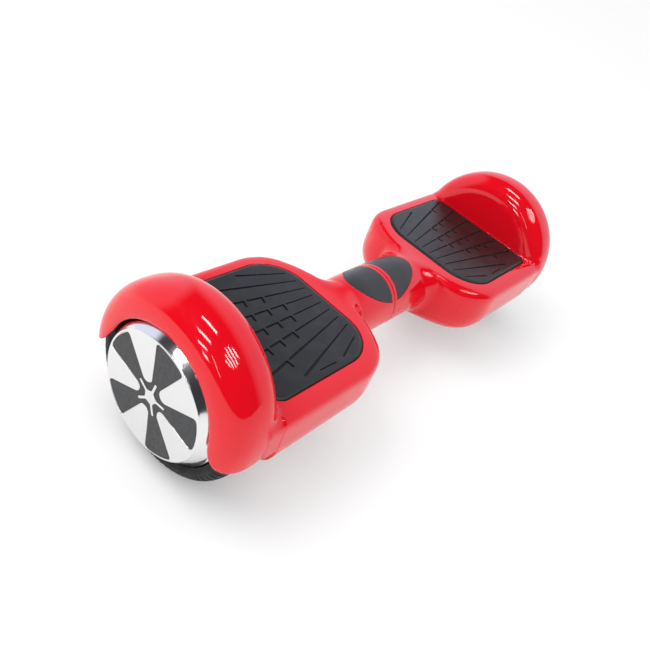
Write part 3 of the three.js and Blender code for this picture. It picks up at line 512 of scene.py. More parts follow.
def piece(name, shape, side=1):
    obj = bpy.data.objects.new(name, mesh_of(name, shape, side))
    bpy.context.scene.collection.objects.link(obj)
    return obj


def is_closed(mesh):
    work = bmesh.new()
    work.from_mesh(mesh)
    closed = all(e.is_manifold for e in work.edges)
    work.free()
    return closed


def combine(obj, shapes, side, operation="DIFFERENCE"):
    """Cuts the shapes out of a piece, or joins them to it, one after another."""
    for shape in shapes:
        tool = piece("tool", shape, side)
        change = obj.modifiers.new("change", "BOOLEAN")
        change.operation = operation
        change.object = tool
        change.solver = "MANIFOLD" if is_closed(obj.data) else "EXACT"
        bake(obj)
        bpy.data.objects.remove(tool)
        if len(obj.data.polygons) == 0:
            raise RuntimeError("a cut emptied " + obj.name)


def bake(obj):
    """Applies the modifiers to the mesh."""
    graph = bpy.context.evaluated_depsgraph_get()
    graph.update()
    made = bpy.data.meshes.new_from_object(obj.evaluated_get(graph), depsgraph=graph)
    obj.modifiers.clear()
    old = obj.data
    obj.data = made
    bpy.data.meshes.remove(old)


def shade(obj, angle=32):
    """Smooth shading that keeps flat faces flat and edges sharper than an angle crisp."""
    mesh = obj.data
    mesh.shade_smooth()
    mesh.set_sharp_from_angle(angle=math.radians(angle))
    weigh = obj.modifiers.new("weigh", "WEIGHTED_NORMAL")
    weigh.keep_sharp = True
    weigh.weight = 80
    bake(obj)
    return obj


def vectors(items, name):
    """One property of a mesh's items, as an array of vectors."""
    values = np.empty(len(items) * 3, np.float32)
    items.foreach_get(name, values)
    return values.reshape(-1, 3).astype(float)


def whole_numbers(items, name):
    values = np.empty(len(items), np.int32)
    items.foreach_get(name, values)
    return values


def shade_by(obj, function, side, angle=32, reach=0.06):
    """Takes the normals on the surface function = 0 from the function itself."""
    mesh = obj.data
    mesh.shade_smooth()
    mesh.set_sharp_from_angle(angle=math.radians(angle))
    normals = vectors(mesh.corner_normals, "vector")
    corner = whole_numbers(mesh.loops, "vertex_index")
    co = vectors(mesh.vertices, "co") / MM
    co[:, 0] *= side
    near = np.abs(function(*co.T)) < reach
    g = np.zeros_like(co)
    g[near] = gradient(function, co[near], 0.15)
    length = np.linalg.norm(g, axis=1)
    near &= length > 0.3
    g /= np.maximum(length, 1e-9)[:, None]
    g[:, 0] *= side
    sizes = whole_numbers(mesh.polygons, "loop_total")
    face = np.repeat(vectors(mesh.polygon_normals, "vector"), sizes, 0)
    use = near[corner] & ((g[corner] * face).sum(1) > 0.7)
    normals[use] = g[corner][use]
    mesh.normals_split_custom_set(normals.tolist())


def finished(obj, body, slot_name, *nodes, finish=None):
    """Gives a piece its material, chosen by its slot's name unless a finish is named, attaches it to its
    body and hides the CAD nodes that it stands for.
    """
    obj.data.materials.clear()
    obj.data.materials.append(FINISHES[finish or slot_name])
    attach(obj, body)
    if nodes:
        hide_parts(*nodes)


def smooth_piece(name, shape, side, body, slot_name, *nodes, angle=32, finish=None):
    finished(shade(piece(name, shape, side), angle), body, slot_name, *nodes, finish=finish)


# ---------------------------------------------------------------- finishes

class Finish:
    """A node material. Positions in it are the piece's own, in metres."""

    def __init__(self, name, **sockets):
        self.material = bpy.data.materials.new(name)
        self.material.use_nodes = True
        self.tree = self.material.node_tree
        self.shader = self.tree.nodes["Principled BSDF"]
        for key, value in sockets.items():
            self.shader.inputs[key.replace("_", " ")].default_value = value
        self.place = self.node("ShaderNodeTexCoord").outputs["Object"]

    def node(self, kind, settings=(), **links):
        made = self.tree.nodes.new(kind)
        for key, value in dict(settings).items():
            setattr(made, key, value)
        for key, value in links.items():
            socket = int(key[1:]) if key[1:].isdigit() else key.replace("_", " ")
            self.feed(made.inputs[socket], value)
        return made

    def feed(self, socket, value):
        if isinstance(value, bpy.types.NodeSocket):
            self.tree.links.new(value, socket)
        else:
            socket.default_value = value

    def noise(self, scale, detail=2.0, rough=0.5, place=None, stretch=None):
        place = place or self.place
        if stretch:
            scaled = self.node("ShaderNodeVectorMath", {"operation": "MULTIPLY"}, i0=place, i1=stretch)
            place = scaled.outputs[0]
        made = self.node("ShaderNodeTexNoise", Vector=place, Scale=scale, Detail=detail, Roughness=rough)
        return made.outputs[0]

    def grain(self, scale):
        return self.node("ShaderNodeTexVoronoi", Vector=self.place, Scale=scale).outputs["Distance"]

    def span(self, value, low, high, to_low, to_high):
        made = self.node("ShaderNodeMapRange", {"interpolation_type": "SMOOTHSTEP"},
                         i0=value, i1=low, i2=high, i3=to_low, i4=to_high)
        return made.outputs[0]

    def math(self, operation, a, b=0.0):
        return self.node("ShaderNodeMath", {"operation": operation}, i0=a, i1=b).outputs[0]

    def tint(self, factor, first, second):
        made = self.node("ShaderNodeMix", {"data_type": "RGBA"}, i0=factor)
        self.feed(made.inputs[6], (*first, 1))
        self.feed(made.inputs[7], (*second, 1))
        self.tree.links.new(made.outputs[2], self.shader.inputs["Base Color"])
        return made

    def rough(self, value):
        self.feed(self.shader.inputs["Roughness"], value)

    def bump(self, height, distance, strength=1.0, under=None):
        made = self.node("ShaderNodeBump", Strength=strength, Distance=distance, Height=height)
        if under is not None:
            self.tree.links.new(under, made.inputs["Normal"])
        self.tree.links.new(made.outputs[0], self.shader.inputs["Normal"])
        return made.outputs[0]

    def height(self):
        return self.node("ShaderNodeSeparateXYZ", Vector=self.place).outputs[2]

    def across(self):
        """Distance from the wheel's axle, in metres."""
        apart = self.node("ShaderNodeSeparateXYZ", Vector=self.place)
        height = self.math("SUBTRACT", apart.outputs[2], AXLE_Z * MM)
        return self.math("SQRT", self.math("ADD", self.math("POWER", apart.outputs[1], 2.0),
                                           self.math("POWER", height, 2.0)))


def red_shell():
    f = Finish("glossy_red_abs", IOR=1.5)
    paint = f.tint(f.noise(9, 3), (0.80, 0.0026, 0.0120), (0.76, 0.0022, 0.0105))
    # Painted bounce light: rays that bounce off the shell see a pale pink in place of its red, so the
    # floor and other nearby surfaces get lighter, less red shade.
    painted_bounce = f.node("ShaderNodeMix", {"data_type": "RGBA"})
    diffuse = f.node("ShaderNodeLightPath").outputs["Is Diffuse Ray"]
    for socket, value in ((0, diffuse), (6, paint.outputs[2]), (7, (0.70, 0.56, 0.56, 1))):
        f.feed(painted_bounce.inputs[socket], value)
    f.feed(f.shader.inputs["Base Color"], painted_bounce.outputs[2])
    smudge = f.span(f.noise(34, 5, 0.62), 0.42, 0.72, 0.055, 0.105)
    scuff = f.span(f.noise(900, 2, 0.6, stretch=(1, 0.08, 0.3)), 0.68, 0.76, 0.0, 0.05)
    f.rough(f.math("ADD", smudge, scuff))
    f.bump(f.noise(240, 2, 0.4), 0.00001, 0.55)
    return f.material


def footpad_rubber():
    f = Finish("footpad_rubber", IOR=1.48, Specular_IOR_Level=0.48)
    dust = f.span(f.noise(55, 6, 0.6), 0.35, 0.75, 0.0, 1.0)
    # Painted shade in the grooves: below the pad's top the dust tint is taken away, so the grooves are
    # painted darker. The same mask also makes them rougher.
    groove_shade_mask = f.span(f.height(), (MAT_TOP - 1.2) * MM, (MAT_TOP - 0.3) * MM, 1.0, 0.0)
    dust_and_groove_shade = f.math("MULTIPLY", dust, f.math("SUBTRACT", 1.0, groove_shade_mask))
    f.tint(dust_and_groove_shade, (0.0085, 0.0090, 0.0098), (0.0185, 0.0190, 0.0200))
    worn = f.span(f.noise(120, 4, 0.6), 0.3, 0.7, 0.27, 0.38)
    f.rough(f.math("ADD", worn, f.math("MULTIPLY", groove_shade_mask, 0.5)))
    pebble = f.bump(f.grain(2600), 0.00004, 0.35)
    f.bump(f.noise(700, 3, 0.6), 0.00003, 0.4, pebble)
    return f.material


def tyre_rubber():
    f = Finish("tyre_rubber", IOR=1.48, Specular_IOR_Level=0.35)
    worn = f.span(f.across(), 0.0795, 0.0825, 0.0, 0.7)
    dirt = f.math("MULTIPLY", worn, f.span(f.noise(90, 5, 0.65), 0.3, 0.7, 0.2, 1.0))
    f.tint(dirt, (0.0085, 0.0086, 0.0090), (0.022, 0.0215, 0.021))
    f.rough(f.span(f.noise(160, 4, 0.6), 0.3, 0.7, 0.50, 0.72))
    radius = f.node("ShaderNodeCombineXYZ", i0=f.across()).outputs[0]
    rings = f.node("ShaderNodeTexWave", {"wave_type": "BANDS", "bands_direction": "X"},
                   Vector=radius, Scale=260.0)
    low = f.bump(rings.outputs[1], 0.00003, 0.3)
    f.bump(f.noise(1500, 3, 0.6), 0.00005, 0.5, low)
    return f.material


def plastic(name, cloud, first, second, worn, rough, grain, bump, **sockets):
    """A moulded plastic: a clouded tint, uneven wear and a fine grain."""
    f = Finish(name, **sockets)
    f.tint(f.noise(*cloud), first, second)
    f.rough(f.span(f.noise(worn, 3, 0.6), 0.3, 0.7, *rough))
    f.bump(f.grain(grain), *bump)
    return f.material


def metal(name, low, high, rough, lines=(1, 1, 1), scale=500.0, depth=0.000006):
    f = Finish(name, Metallic=1.0)
    f.tint(f.noise(30, 4, 0.6), low, high)
    streak = f.noise(scale, 3, 0.6, stretch=lines)
    f.rough(f.span(streak, 0.3, 0.7, *rough))
    f.bump(streak, depth, 0.5)
    return f.material


def cap_metal():
    """Satin face with turning marks, and a brightly polished cone outside it."""
    f = Finish("wheel_cap_metal", Metallic=1.0)
    radius = f.across()
    turn = f.node("ShaderNodeCombineXYZ", i0=radius).outputs[0]
    marks = f.noise(5200, 2, 0.6, place=turn)
    f.tint(f.noise(24, 4, 0.6), (0.80, 0.80, 0.795), (0.75, 0.75, 0.75))
    face = f.span(radius, 0.0545, 0.0562, 1.0, 0.0)
    satin = f.span(marks, 0.3, 0.7, 0.30, 0.42)
    polished = f.span(f.noise(60, 3, 0.6), 0.3, 0.7, 0.11, 0.19)
    f.rough(f.math("ADD", f.math("MULTIPLY", face, satin),
                   f.math("MULTIPLY", f.math("SUBTRACT", 1.0, face), polished)))
    f.bump(marks, 0.000004, 0.35)
    return f.material


def lens_plastic():
    f = Finish("clear_lens", IOR=1.5, Transmission_Weight=0.92)
    f.tint(f.noise(40, 3), (0.93, 0.95, 0.97), (0.88, 0.90, 0.93))
    f.rough(f.span(f.noise(90, 4, 0.6), 0.35, 0.7, 0.03, 0.09))
    f.bump(f.noise(500, 2), 0.00001, 0.3)
    return f.material


def board_green():
    f = Finish("circuit_board", IOR=1.55)
    copper = f.node("ShaderNodeTexBrick", {"offset": 0.37}, Vector=f.place, Scale=230.0, i5=0.06)
    lane = f.span(copper.outputs[1], 0.2, 0.8, 0.0, 1.0)
    f.tint(lane, (0.010, 0.075, 0.028), (0.030, 0.150, 0.060))
    f.rough(f.span(f.noise(200, 3), 0.3, 0.7, 0.25, 0.42))
    f.bump(lane, 0.00003, 0.5)
    return f.material


def battery_blue():
    f = Finish("battery_wrap", IOR=1.5)
    f.tint(f.noise(45, 4, 0.6), (0.012, 0.060, 0.240), (0.020, 0.085, 0.300))
    f.rough(f.span(f.noise(120, 4, 0.6), 0.3, 0.7, 0.20, 0.38))
    f.bump(f.noise(70, 4, 0.6), 0.0003, 0.5)
    return f.material


FINISHES = {
    "red_shell": red_shell(),
    "black_rubber": footpad_rubber(),
    "tyre_rubber": tyre_rubber(),
    "black_trim": plastic("black_trim_plastic", (70, 4, 0.6), (0.026, 0.028, 0.030),
                          (0.035, 0.037, 0.040), 150, (0.30, 0.40), 3200, (0.000025, 0.3),
                          IOR=1.49, Specular_IOR_Level=0.42),
    "grey_inlay": plastic("charcoal_inlay", (110, 5, 0.65), (0.040, 0.0405, 0.043),
                          (0.056, 0.0565, 0.059), 300, (0.50, 0.66), 4200, (0.00003, 0.4), IOR=1.46),
    "polished_metal": cap_metal(),
    "cast_aluminium": metal("cast_aluminium", (0.58, 0.585, 0.59), (0.50, 0.505, 0.51),
                            (0.38, 0.56), scale=700.0, depth=0.00006),
    "steel": metal("steel", (0.48, 0.48, 0.49), (0.40, 0.40, 0.41), (0.22, 0.36), (0.2, 1, 1)),
    "motor_core": metal("motor_core", (0.62, 0.30, 0.13), (0.52, 0.24, 0.10), (0.25, 0.42),
                        (1, 0.2, 0.2), 900, 0.00005),
    "circuit_board": board_green(),
    "battery_wrap": battery_blue(),
    "clear_lens": lens_plastic(),
}


# ---------------------------------------------------------------- shapes of the pieces

NET_STEP = 1.75
MAT_BEVEL = 3.0
MAT_BEVEL_DROP = 1.2
FAN_U = -25.0
FAN_STEP = 5.2
FAN_TURN = -0.9
TICK_LENGTH = 7.5
TICK_GAP = 3.8
TICKS = {3: (219,), 2: (176, 196, 215), 1: (162, 181, 200), 0: (166, 184, 202),
         -1: (181, 200, 217.5), -2: (215,)}
RAY_ENDS = {-4: 178.0, -3: 218.0, 4: 198.0}
GROOVE_DEPTH = 1.5
GROOVE_SLOPE = 0.15
GROOVE_BORDER = 8.0
HOOK_HALF = 1.3


def mat_outline(offset, steps=20):
    inner, outer = MAT_INNER_U - offset, MAT_OUTER_U + offset
    width = MAT_HALF_WIDTH + offset
    big, small = MAT_INNER_CORNER + offset, MAT_OUTER_CORNER + offset
    corners = [(outer - small, small - width, small, -90), (outer - small, width - small, small, 0),
               (inner + big, width - big, big, 90), (inner + big, big - width, big, 180)]
    points = []
    for u, y, r, start in corners:
        t = np.radians(np.linspace(start, start + 90, steps))
        points.append(np.stack([u + r * np.cos(t), y + r * np.sin(t)], 1))
    return np.concatenate(points)


def deck_height(u, y):
    """Height of the deck's upper surface."""
    w, h, p = section(u, np.ones(np.shape(u), bool))
    a = np.clip(np.abs(y) / w, 0, 1)
    return PIVOT_Z + h * (1 - a ** p) ** (1 / p)


def unit_normal(points):
    """The outward normals of the deck's skin."""
    g = gradient(deck_distance, points.reshape(-1, 3))
    return (g / np.linalg.norm(g, axis=1)[:, None]).reshape(points.shape)


def mat_pocket():
    """The tray that the footpad lies in, with an eased edge except beside the fender."""
    edge = 0.55
    plain = mat_outline(2 * GAP)
    surface = deck_height(plain[:, 0], plain[:, 1])
    softened = 1 - smooth((plain[:, 0] - 214) / 8)

    def ring(offset, height):
        flat = plain + (mat_outline(2 * GAP + edge * offset) - plain) * softened[:, None]
        return np.column_stack([flat, height + 0 * surface])

    rings = [ring(0.0, POCKET_FLOOR)]
    for share, drop in ((0.0, -edge), (0.3, -0.3 * edge), (1.0, 0.0), (1.6, 0.4)):
        rings.append(ring(share, surface + drop))
    return loft(rings + [ring(1.6, DECK_TOP + 12)])


def tongue(growth, outer, inner, rounding=0.0):
    """The half-elliptic plate over the neck, between two offsets from the casing."""
    reach, width, start = TRIM_END_U + growth, TRIM_HALF_WIDTH + growth, TRIM_START_U - growth
    first = math.asin(start / reach)
    turn = first + (math.radians(89.0) - first) * np.linspace(0, 1, 60)
    turn = np.sort(np.concatenate([turn, first + np.array([0.003, 0.008, 0.014])]))
    across = np.sin(np.linspace(-np.pi / 2, np.pi / 2, 91))
    u = reach * np.sin(turn)[:, None] * np.ones(len(across))
    y = width * np.cos(turn)[:, None] * across
    skin = np.stack([u, y, deck_height(u, y)], -1)
    n = unit_normal(skin)
    out = np.full(u.shape, float(outer))
    if rounding:
        level = np.sqrt((u / reach) ** 2 + (y / width) ** 2)
        slope = np.hypot(u / reach ** 2, y / width ** 2) / level
        d = np.minimum((1 - level) / slope, u - start)
        t = 1 - np.clip(d / rounding, 0, 1)
        out -= 0.6 * rounding * (1 - np.sqrt(1 - t * t))
    return plate(skin + n * out[..., None], skin + n * inner)


def trough(stations):
    """A bar with sloping sides that cuts a groove, from (u, y, half width) stations along its middle."""
    stations = np.array(stations, float)
    along = stations[-1, :2] - stations[0, :2]
    along /= np.linalg.norm(along)
    across = np.array([-along[1], along[0]])
    rings = []
    for u, y, half in stations:
        low, high = half - GROOVE_SLOPE, half + GROOVE_SLOPE
        floor_z, over_z = MAT_TOP - GROOVE_DEPTH, MAT_TOP + GROOVE_DEPTH
        profile = [(-low, floor_z), (low, floor_z), (high, over_z), (-high, over_z)]
        rings.append(np.array([(u + across[0] * d, y + across[1] * d, z) for d, z in profile]))
    return loft(rings)


def footpad_grooves():
    """The fan of broken rays, and the short hooks that cross the rays at their breaks."""
    rays, hooks = [], []
    for k in range(-4, 5):
        turn = math.radians(FAN_TURN + FAN_STEP * k)
        out = np.array([math.cos(turn), math.sin(turn)])
        left = np.array([-out[1], out[0]])
        reach = np.arange(60, 320, 0.25)
        within = reach[-mat_distance(FAN_U + reach * out[0], reach * out[1]) > GROOVE_BORDER]
        first, last = within[0], min(within[-1], RAY_ENDS.get(k, within[-1]))
        starts = [first] + [tick - 0.5 for tick in TICKS.get(k, ())]
        ends = [tick - TICK_GAP for tick in TICKS.get(k, ())] + [last]
        for start, end in zip(starts, ends):
            if end - start < 2:
                continue
            stations = []
            for reach in np.linspace(start, end, 9):
                at = out * reach
                stations.append((FAN_U + at[0], at[1], 0.55 + 0.65 * float(smooth((reach - 125) / 90))))
            rays.append(trough(stations))
        for tick in TICKS.get(k, ()):
            pair = [out * (tick - 0.12 * s) + left * s for s in (0.9, -TICK_LENGTH)]
            if mat_distance(FAN_U + pair[1][0], pair[1][1]) < -3.5:
                hooks.append(trough([(FAN_U + at[0], at[1], HOOK_HALF) for at in pair]))
    rays.append(trough([(146, -64.9, 0.6), (167, -64.06, 0.6)]))
    return rays, hooks


def mat_surface(u, y):
    d = -mat_distance(u, y)
    bevel = MAT_BEVEL_DROP * np.clip(1 - d / MAT_BEVEL, 0, 1)
    soft = smax(0 * d, MAT_BEVEL_DROP * (1 - d / MAT_BEVEL), 0.35)
    edge = np.where(d < 0.6, np.sqrt(np.maximum(0.36 - (0.6 - d) ** 2, 0)) - 0.6, 0) * 0.7
    return MAT_TOP - np.minimum(np.maximum(bevel, soft), MAT_BEVEL_DROP) + edge


def close_at_ends(length, count):
    """Shares of a length, packed closely at both ends."""
    edge = np.array([0, 0.06, 0.15, 0.27, 0.42, 0.6, 0.9, 1.3, 1.8, 2.3, 2.75, 3.0, 3.3, 3.8, 4.6, 6.0])
    edge /= length
    return np.concatenate([edge, np.linspace(edge[-1], 1 - edge[-1], count)[1:-1], 1 - edge[::-1]])


def footpad_mat():
    middle = (MAT_INNER_U + MAT_OUTER_U) / 2
    u = MAT_INNER_U + (MAT_OUTER_U - MAT_INNER_U) * close_at_ends(MAT_OUTER_U - MAT_INNER_U, 60)
    r = np.where(u < middle, MAT_INNER_CORNER, MAT_OUTER_CORNER)
    past = np.where(u < middle, MAT_INNER_U + r - u, u - MAT_OUTER_U + r)
    half = MAT_HALF_WIDTH - r + np.sqrt(np.maximum(r ** 2 - np.maximum(past, 0) ** 2, 0))
    across = 2 * close_at_ends(2 * MAT_HALF_WIDTH, 60) - 1
    rows, columns = len(u), len(across)
    uu = u[:, None] * np.ones(columns)
    yy = half[:, None] * across
    top = np.stack([uu, yy, mat_surface(uu, yy)], -1)
    index = np.arange(rows * columns).reshape(rows, columns)
    rim = grid_rim(index)
    low = top.reshape(-1, 3)[rim].copy()
    low[:, 2] = MAT_BOTTOM
    under = rows * columns + np.arange(len(rim))
    side = np.stack([rim, under, np.roll(under, -1), np.roll(rim, -1)], -1)
    points = np.concatenate([top.reshape(-1, 3), low])
    return points, grid_quads(index).tolist() + side.tolist() + [under.tolist()]


def flank_point(u, z):
    """Points on the casing's front flank."""
    w, h, p = section(u, z >= PIVOT_Z)
    b = np.clip(np.abs(z - PIVOT_Z) / h, 0, 1)
    y = w * (1 - b ** p) ** (1 / p)
    return np.stack([u, -y, z], -1)


LAMP_BOTTOM = (41.0, 122.0, 170.0)
LAMP_TOP = (51.5, 128.0, 164.0)


def lamp_window(growth):
    z0, a0, b0 = LAMP_BOTTOM
    z1, a1, b1 = LAMP_TOP
    shape = eased([(a0 - growth, z0 - growth), (b0 + growth, z0 - growth), (b1 + growth, z1 + growth),
                   (a1 - growth, z1 + growth)], [2.0] * 4, 5, True)
    return prism(shape, (-DECK_HALF_WIDTH - 6, -DECK_HALF_WIDTH / 2), 1)


def headlight_lens():
    z0, a0, b0 = LAMP_BOTTOM
    z1, a1, b1 = LAMP_TOP
    t, s = np.linspace(0, 1, 24), np.linspace(0, 1, 140)
    z = (z0 + (z1 - z0) * t)[:, None] * np.ones(len(s))
    low = (a0 + (a1 - a0) * t)[:, None]
    high = (b0 + (b1 - b0) * t)[:, None]
    u = low + (high - low) * s
    skin = flank_point(u, z)
    n = unit_normal(skin)
    flutes = 0.45 * np.abs(np.sin(np.pi * s * 14))[None, :, None]
    return plate(skin - n * 0.2, skin - n * (2.6 - flutes))


def slot_shape():
    """The slot in the end plate that the axle drops into."""
    r = 11.0
    arc = np.radians(np.linspace(0, 180, 33))
    outline = [(r * math.cos(t), AXLE_Z + r * math.sin(t)) for t in arc] + [(-r, 0.0), (r, 0.0)]
    return prism(outline, (ARCH_U - 6, ARCH_U + 6))


SCREWS = [(87, 0.55), (140, 0.52), (205, 0.35), (87, -0.55), (140, -0.52), (205, -0.35)]


def screw_place(u, share):
    """A point on the underside, a share of the half width from the middle, and its outward normal."""
    w, h, p = section(np.array(u), np.array(False))
    y = -w * share
    z = PIVOT_Z - h * (1 - abs(share) ** p) ** (1 / p)
    at = np.array([[float(u), float(y), float(z)]])
    return at[0], unit_normal(at)[0]


def screw_head(u, share):
    at, n = screw_place(u, share)
    profile = [(-2.1, 2.9), (-1.3, 2.9), (-1.05, 2.7), (-1.0, 2.4), (-1.0, 1.5), (-1.5, 1.3), (-1.5, 0)]
    return spun(profile, at, n, 24)


# ---------------------------------------------------------------- shells

BODY = {-1: "left", 1: "right"}
SEAM_CUT = box((-10, -120, 0), (SEAM_U, 120, 200))
# This grid meets the casing's thin walls so that every edge of the net has two faces, which the cuts
# rely on.
casing_net = net(casing, (-8.4, -93, 29), (288, 93, 176), NET_STEP)


def control_bore(u, start, radius):
    return rod((u, start, CONTROL_Z), (u, DECK_HALF_WIDTH + 6, CONTROL_Z), radius, 64)


def control_openings():
    """Holes for the power button and the socket, and the square-topped recess around the socket."""
    recess, floor_y = CAP_DISC_R + 0.5, SOCKET_FACE_Y + GAP
    return [
        control_bore(BUTTON_U, 60, BUTTON_R + 0.4),
        control_bore(SOCKET_U, 60, SOCKET_R + GAP),
        control_bore(SOCKET_U, floor_y, recess),
        box((SOCKET_U - recess, floor_y, CONTROL_Z),
            (SOCKET_U + recess, DECK_HALF_WIDTH + 6, CONTROL_Z + CAP_DISC_R + 0.8)),
    ]


def top_casing(side):
    top = piece(BODY[side] + "_top_casing", casing_net, side)
    cuts = [SEAM_CUT, box((-12, -121, -1), (300, 121, SPLIT_Z)), mat_pocket(),
            tongue(GAP, 3.0, -TRIM_THICKNESS - GAP), slot_shape()]
    cuts += [rod((POST_U, y, TRAY_UNDERSIDE - 1), (POST_U, y, POCKET_FLOOR + 1), 7)
             for y in (-POST_Y, POST_Y)]
    combine(top, cuts, side)
    if side > 0:
        boss = rod((SOCKET_U, SOCKET_FACE_Y - 3, CONTROL_Z), (SOCKET_U, SOCKET_FACE_Y + 2.1, CONTROL_Z),
                   11, 64)
        combine(top, [boss], side, "UNION")
        combine(top, control_openings(), side)
    return top


def bottom_casing(side):
    bottom = piece(BODY[side] + "_bottom_casing", casing_net, side)
    cuts = [SEAM_CUT, box((-12, -121, SPLIT_Z - GAP), (300, 121, 201)), lamp_window(GAP), slot_shape()]
    for u, share in SCREWS:
        at, n = screw_place(u, share)
        cuts.append(rod(at - n * 2.1, at + n * 4, 3.6, 32))
    combine(bottom, cuts, side)
    return bottom


def shell_pieces():
    for side, name in BODY.items():
        for made, node in ((top_casing, "_top_shell"), (bottom_casing, "_bottom_shell")):
            obj = made(side)
            shade_by(obj, casing, side)
            finished(obj, name + "_half", "red_shell", name + node)
        for i, (u, share) in enumerate(SCREWS):
            smooth_piece("%s_casing_screw_%d" % (name, i + 1), screw_head(u, share), side,
                         name + "_half", "steel")


def trim_pieces():
    for side, name in BODY.items():
        smooth_piece(name + "_neck_tongue", tongue(0, 0, -TRIM_THICKNESS, 0.7), side,
                     name + "_half", "black_trim", name + "_neck_trim", angle=50)
        mat = piece(name + "_grooved_mat", footpad_mat(), side)
        for group in footpad_grooves():
            combine(mat, [merge(group)], side)
        finished(shade(mat, 38), name + "_footpad", "black_rubber", name + "_footpad_mat")
        smooth_piece(name + "_fluted_lens", headlight_lens(), side,
                     name + "_half", "clear_lens", name + "_headlight_lens", angle=40)


# ---------------------------------------------------------------- wheels

CAP_FACE_U = 289.0
WEDGES = 5
WEDGE_R = 53.3
WEDGE_HALF = math.radians(17.5)
WEDGE_PHASE = math.radians(29)
CORNER_REACH = 4.0
INLAY_TIP_R = 18.0
PITCH = 2 * math.pi / WEDGES


def polar(r, t):
    return np.array([r * math.cos(t), r * math.sin(t)])


def quadratic(a, b, c, steps=6):
    t = np.linspace(0, 1, steps + 1)[1:, None]
    return (1 - t) ** 2 * a + 2 * t * (1 - t) * b + t * t * c


def inlay_outline(offset):
    """Five wedges with rounded corners that meet around the middle."""
    edge = WEDGE_HALF + offset / (WEDGE_R - CORNER_REACH)
    outer, tip = WEDGE_R + offset, INLAY_TIP_R + offset
    corner = CORNER_REACH / WEDGE_R
    points = []
    for i in range(WEDGES):
        middle = WEDGE_PHASE + PITCH * i
        a, b, c = middle - edge, middle + edge, middle + PITCH - edge
        points.append(np.linspace(polar(tip, a), polar(outer - CORNER_REACH, a), 6)[:-1])
        points.append(polar(outer - CORNER_REACH, a)[None])
        points.append(quadratic(polar(outer - CORNER_REACH, a), polar(outer, a),
                                polar(outer, a + corner)))
        points.append(np.array([polar(outer, t) for t in np.linspace(a + corner, b - corner, 26)[1:]]))
        points.append(quadratic(polar(outer, b - corner), polar(outer, b),
                                polar(outer - CORNER_REACH, b)))
        points.append(np.linspace(polar(outer - CORNER_REACH, b), polar(tip, b), 6)[1:])
        inner = bezier(polar(tip, b), polar(tip - 6, b), polar(tip - 6, c), polar(tip, c), 16)
        points.append(inner[1:-1])
    return np.concatenate(points)


def star_outline(offset):
    """Five round-ended legs on a hub with flat sides."""
    half, reach, hub = 1.25 + offset, 16.8 + offset, 5.6 + offset
    points = []
    for i in range(WEDGES):
        middle = WEDGE_PHASE + PITCH * i
        along, across = polar(1, middle), polar(1, middle + math.pi / 2)
        spread = np.radians(np.linspace(-90, 90, 9))
        leg = [(hub + 0.6, -half - 0.55), (hub + 1.8, -half)]
        leg += [(reach - half + half * math.cos(t), half * math.sin(t)) for t in spread]
        leg += [(hub + 1.8, half), (hub + 0.6, half + 0.55)]
        points += [along * d + across * s for d, s in leg]
    return np.array(points)


def along_axle(outline, layers):
    """A closed mesh from one outline per (offset, u) layer, u counted from the cap's face."""
    rings = []
    for offset, u in layers:
        flat = outline(offset)
        rings.append(np.stack([np.full(len(flat), CAP_FACE_U + u), flat[:, 0], flat[:, 1] + AXLE_Z], 1))
    return loft(rings)


TYRE_U = 256.0
TYRE_HALF_WIDTH = 21.0
LUGS = 72


def tyre():
    """A rounded section with a ring of lugs on each shoulder and three grooves between them."""
    segments, steps = 720, 64
    turn = 2 * np.pi * np.arange(segments) / segments
    t = np.pi * (1 - np.arange(steps + 1) / steps)
    c, s = np.cos(t), np.sin(t)
    u = TYRE_U + TYRE_HALF_WIDTH * np.sign(c) * np.abs(c) ** 0.55
    r = 70 + 12.5 * np.abs(s) ** 0.85
    uu, tt = np.meshgrid(u, turn, indexing="ij")
    rr = r[:, None] * np.ones(segments)
    off = np.abs(uu - TYRE_U)
    pitch = 360 / LUGS
    shift = np.where(uu > TYRE_U, 0.0, pitch / 2)
    phase = np.abs(((np.degrees(tt) + shift + 0.12 * off) % pitch) - pitch / 2)
    lug = smooth((phase * 1.44 - 0.75) / 0.5)
    shoulder = smooth((off - 12.2) / 0.8) * smooth((rr - 73.5) / 1.0)
    ring = smooth(1 - np.abs(off - 7.0) / 1.3)
    middle_ring = smooth(1 - off / 0.9)
    depth = np.maximum(1.3 * (1 - lug) * shoulder, np.maximum(1.2 * ring, 0.9 * middle_ring))
    rr = rr - depth
    rows = [np.stack([uu, rr * np.cos(tt), AXLE_Z + rr * np.sin(tt)], -1)]
    rows += [axle_point(bead_u, 67, turn)[None] for bead_u in (275.0, 237.0)]
    points = np.concatenate(rows)
    n = len(points)
    index = np.arange(n * segments).reshape(n, segments)
    a, b = index, np.roll(index, -1, 0)
    quads = np.stack([a, np.roll(a, -1, 1), np.roll(b, -1, 1), b], -1).reshape(-1, 4)
    return points.reshape(-1, 3), quads


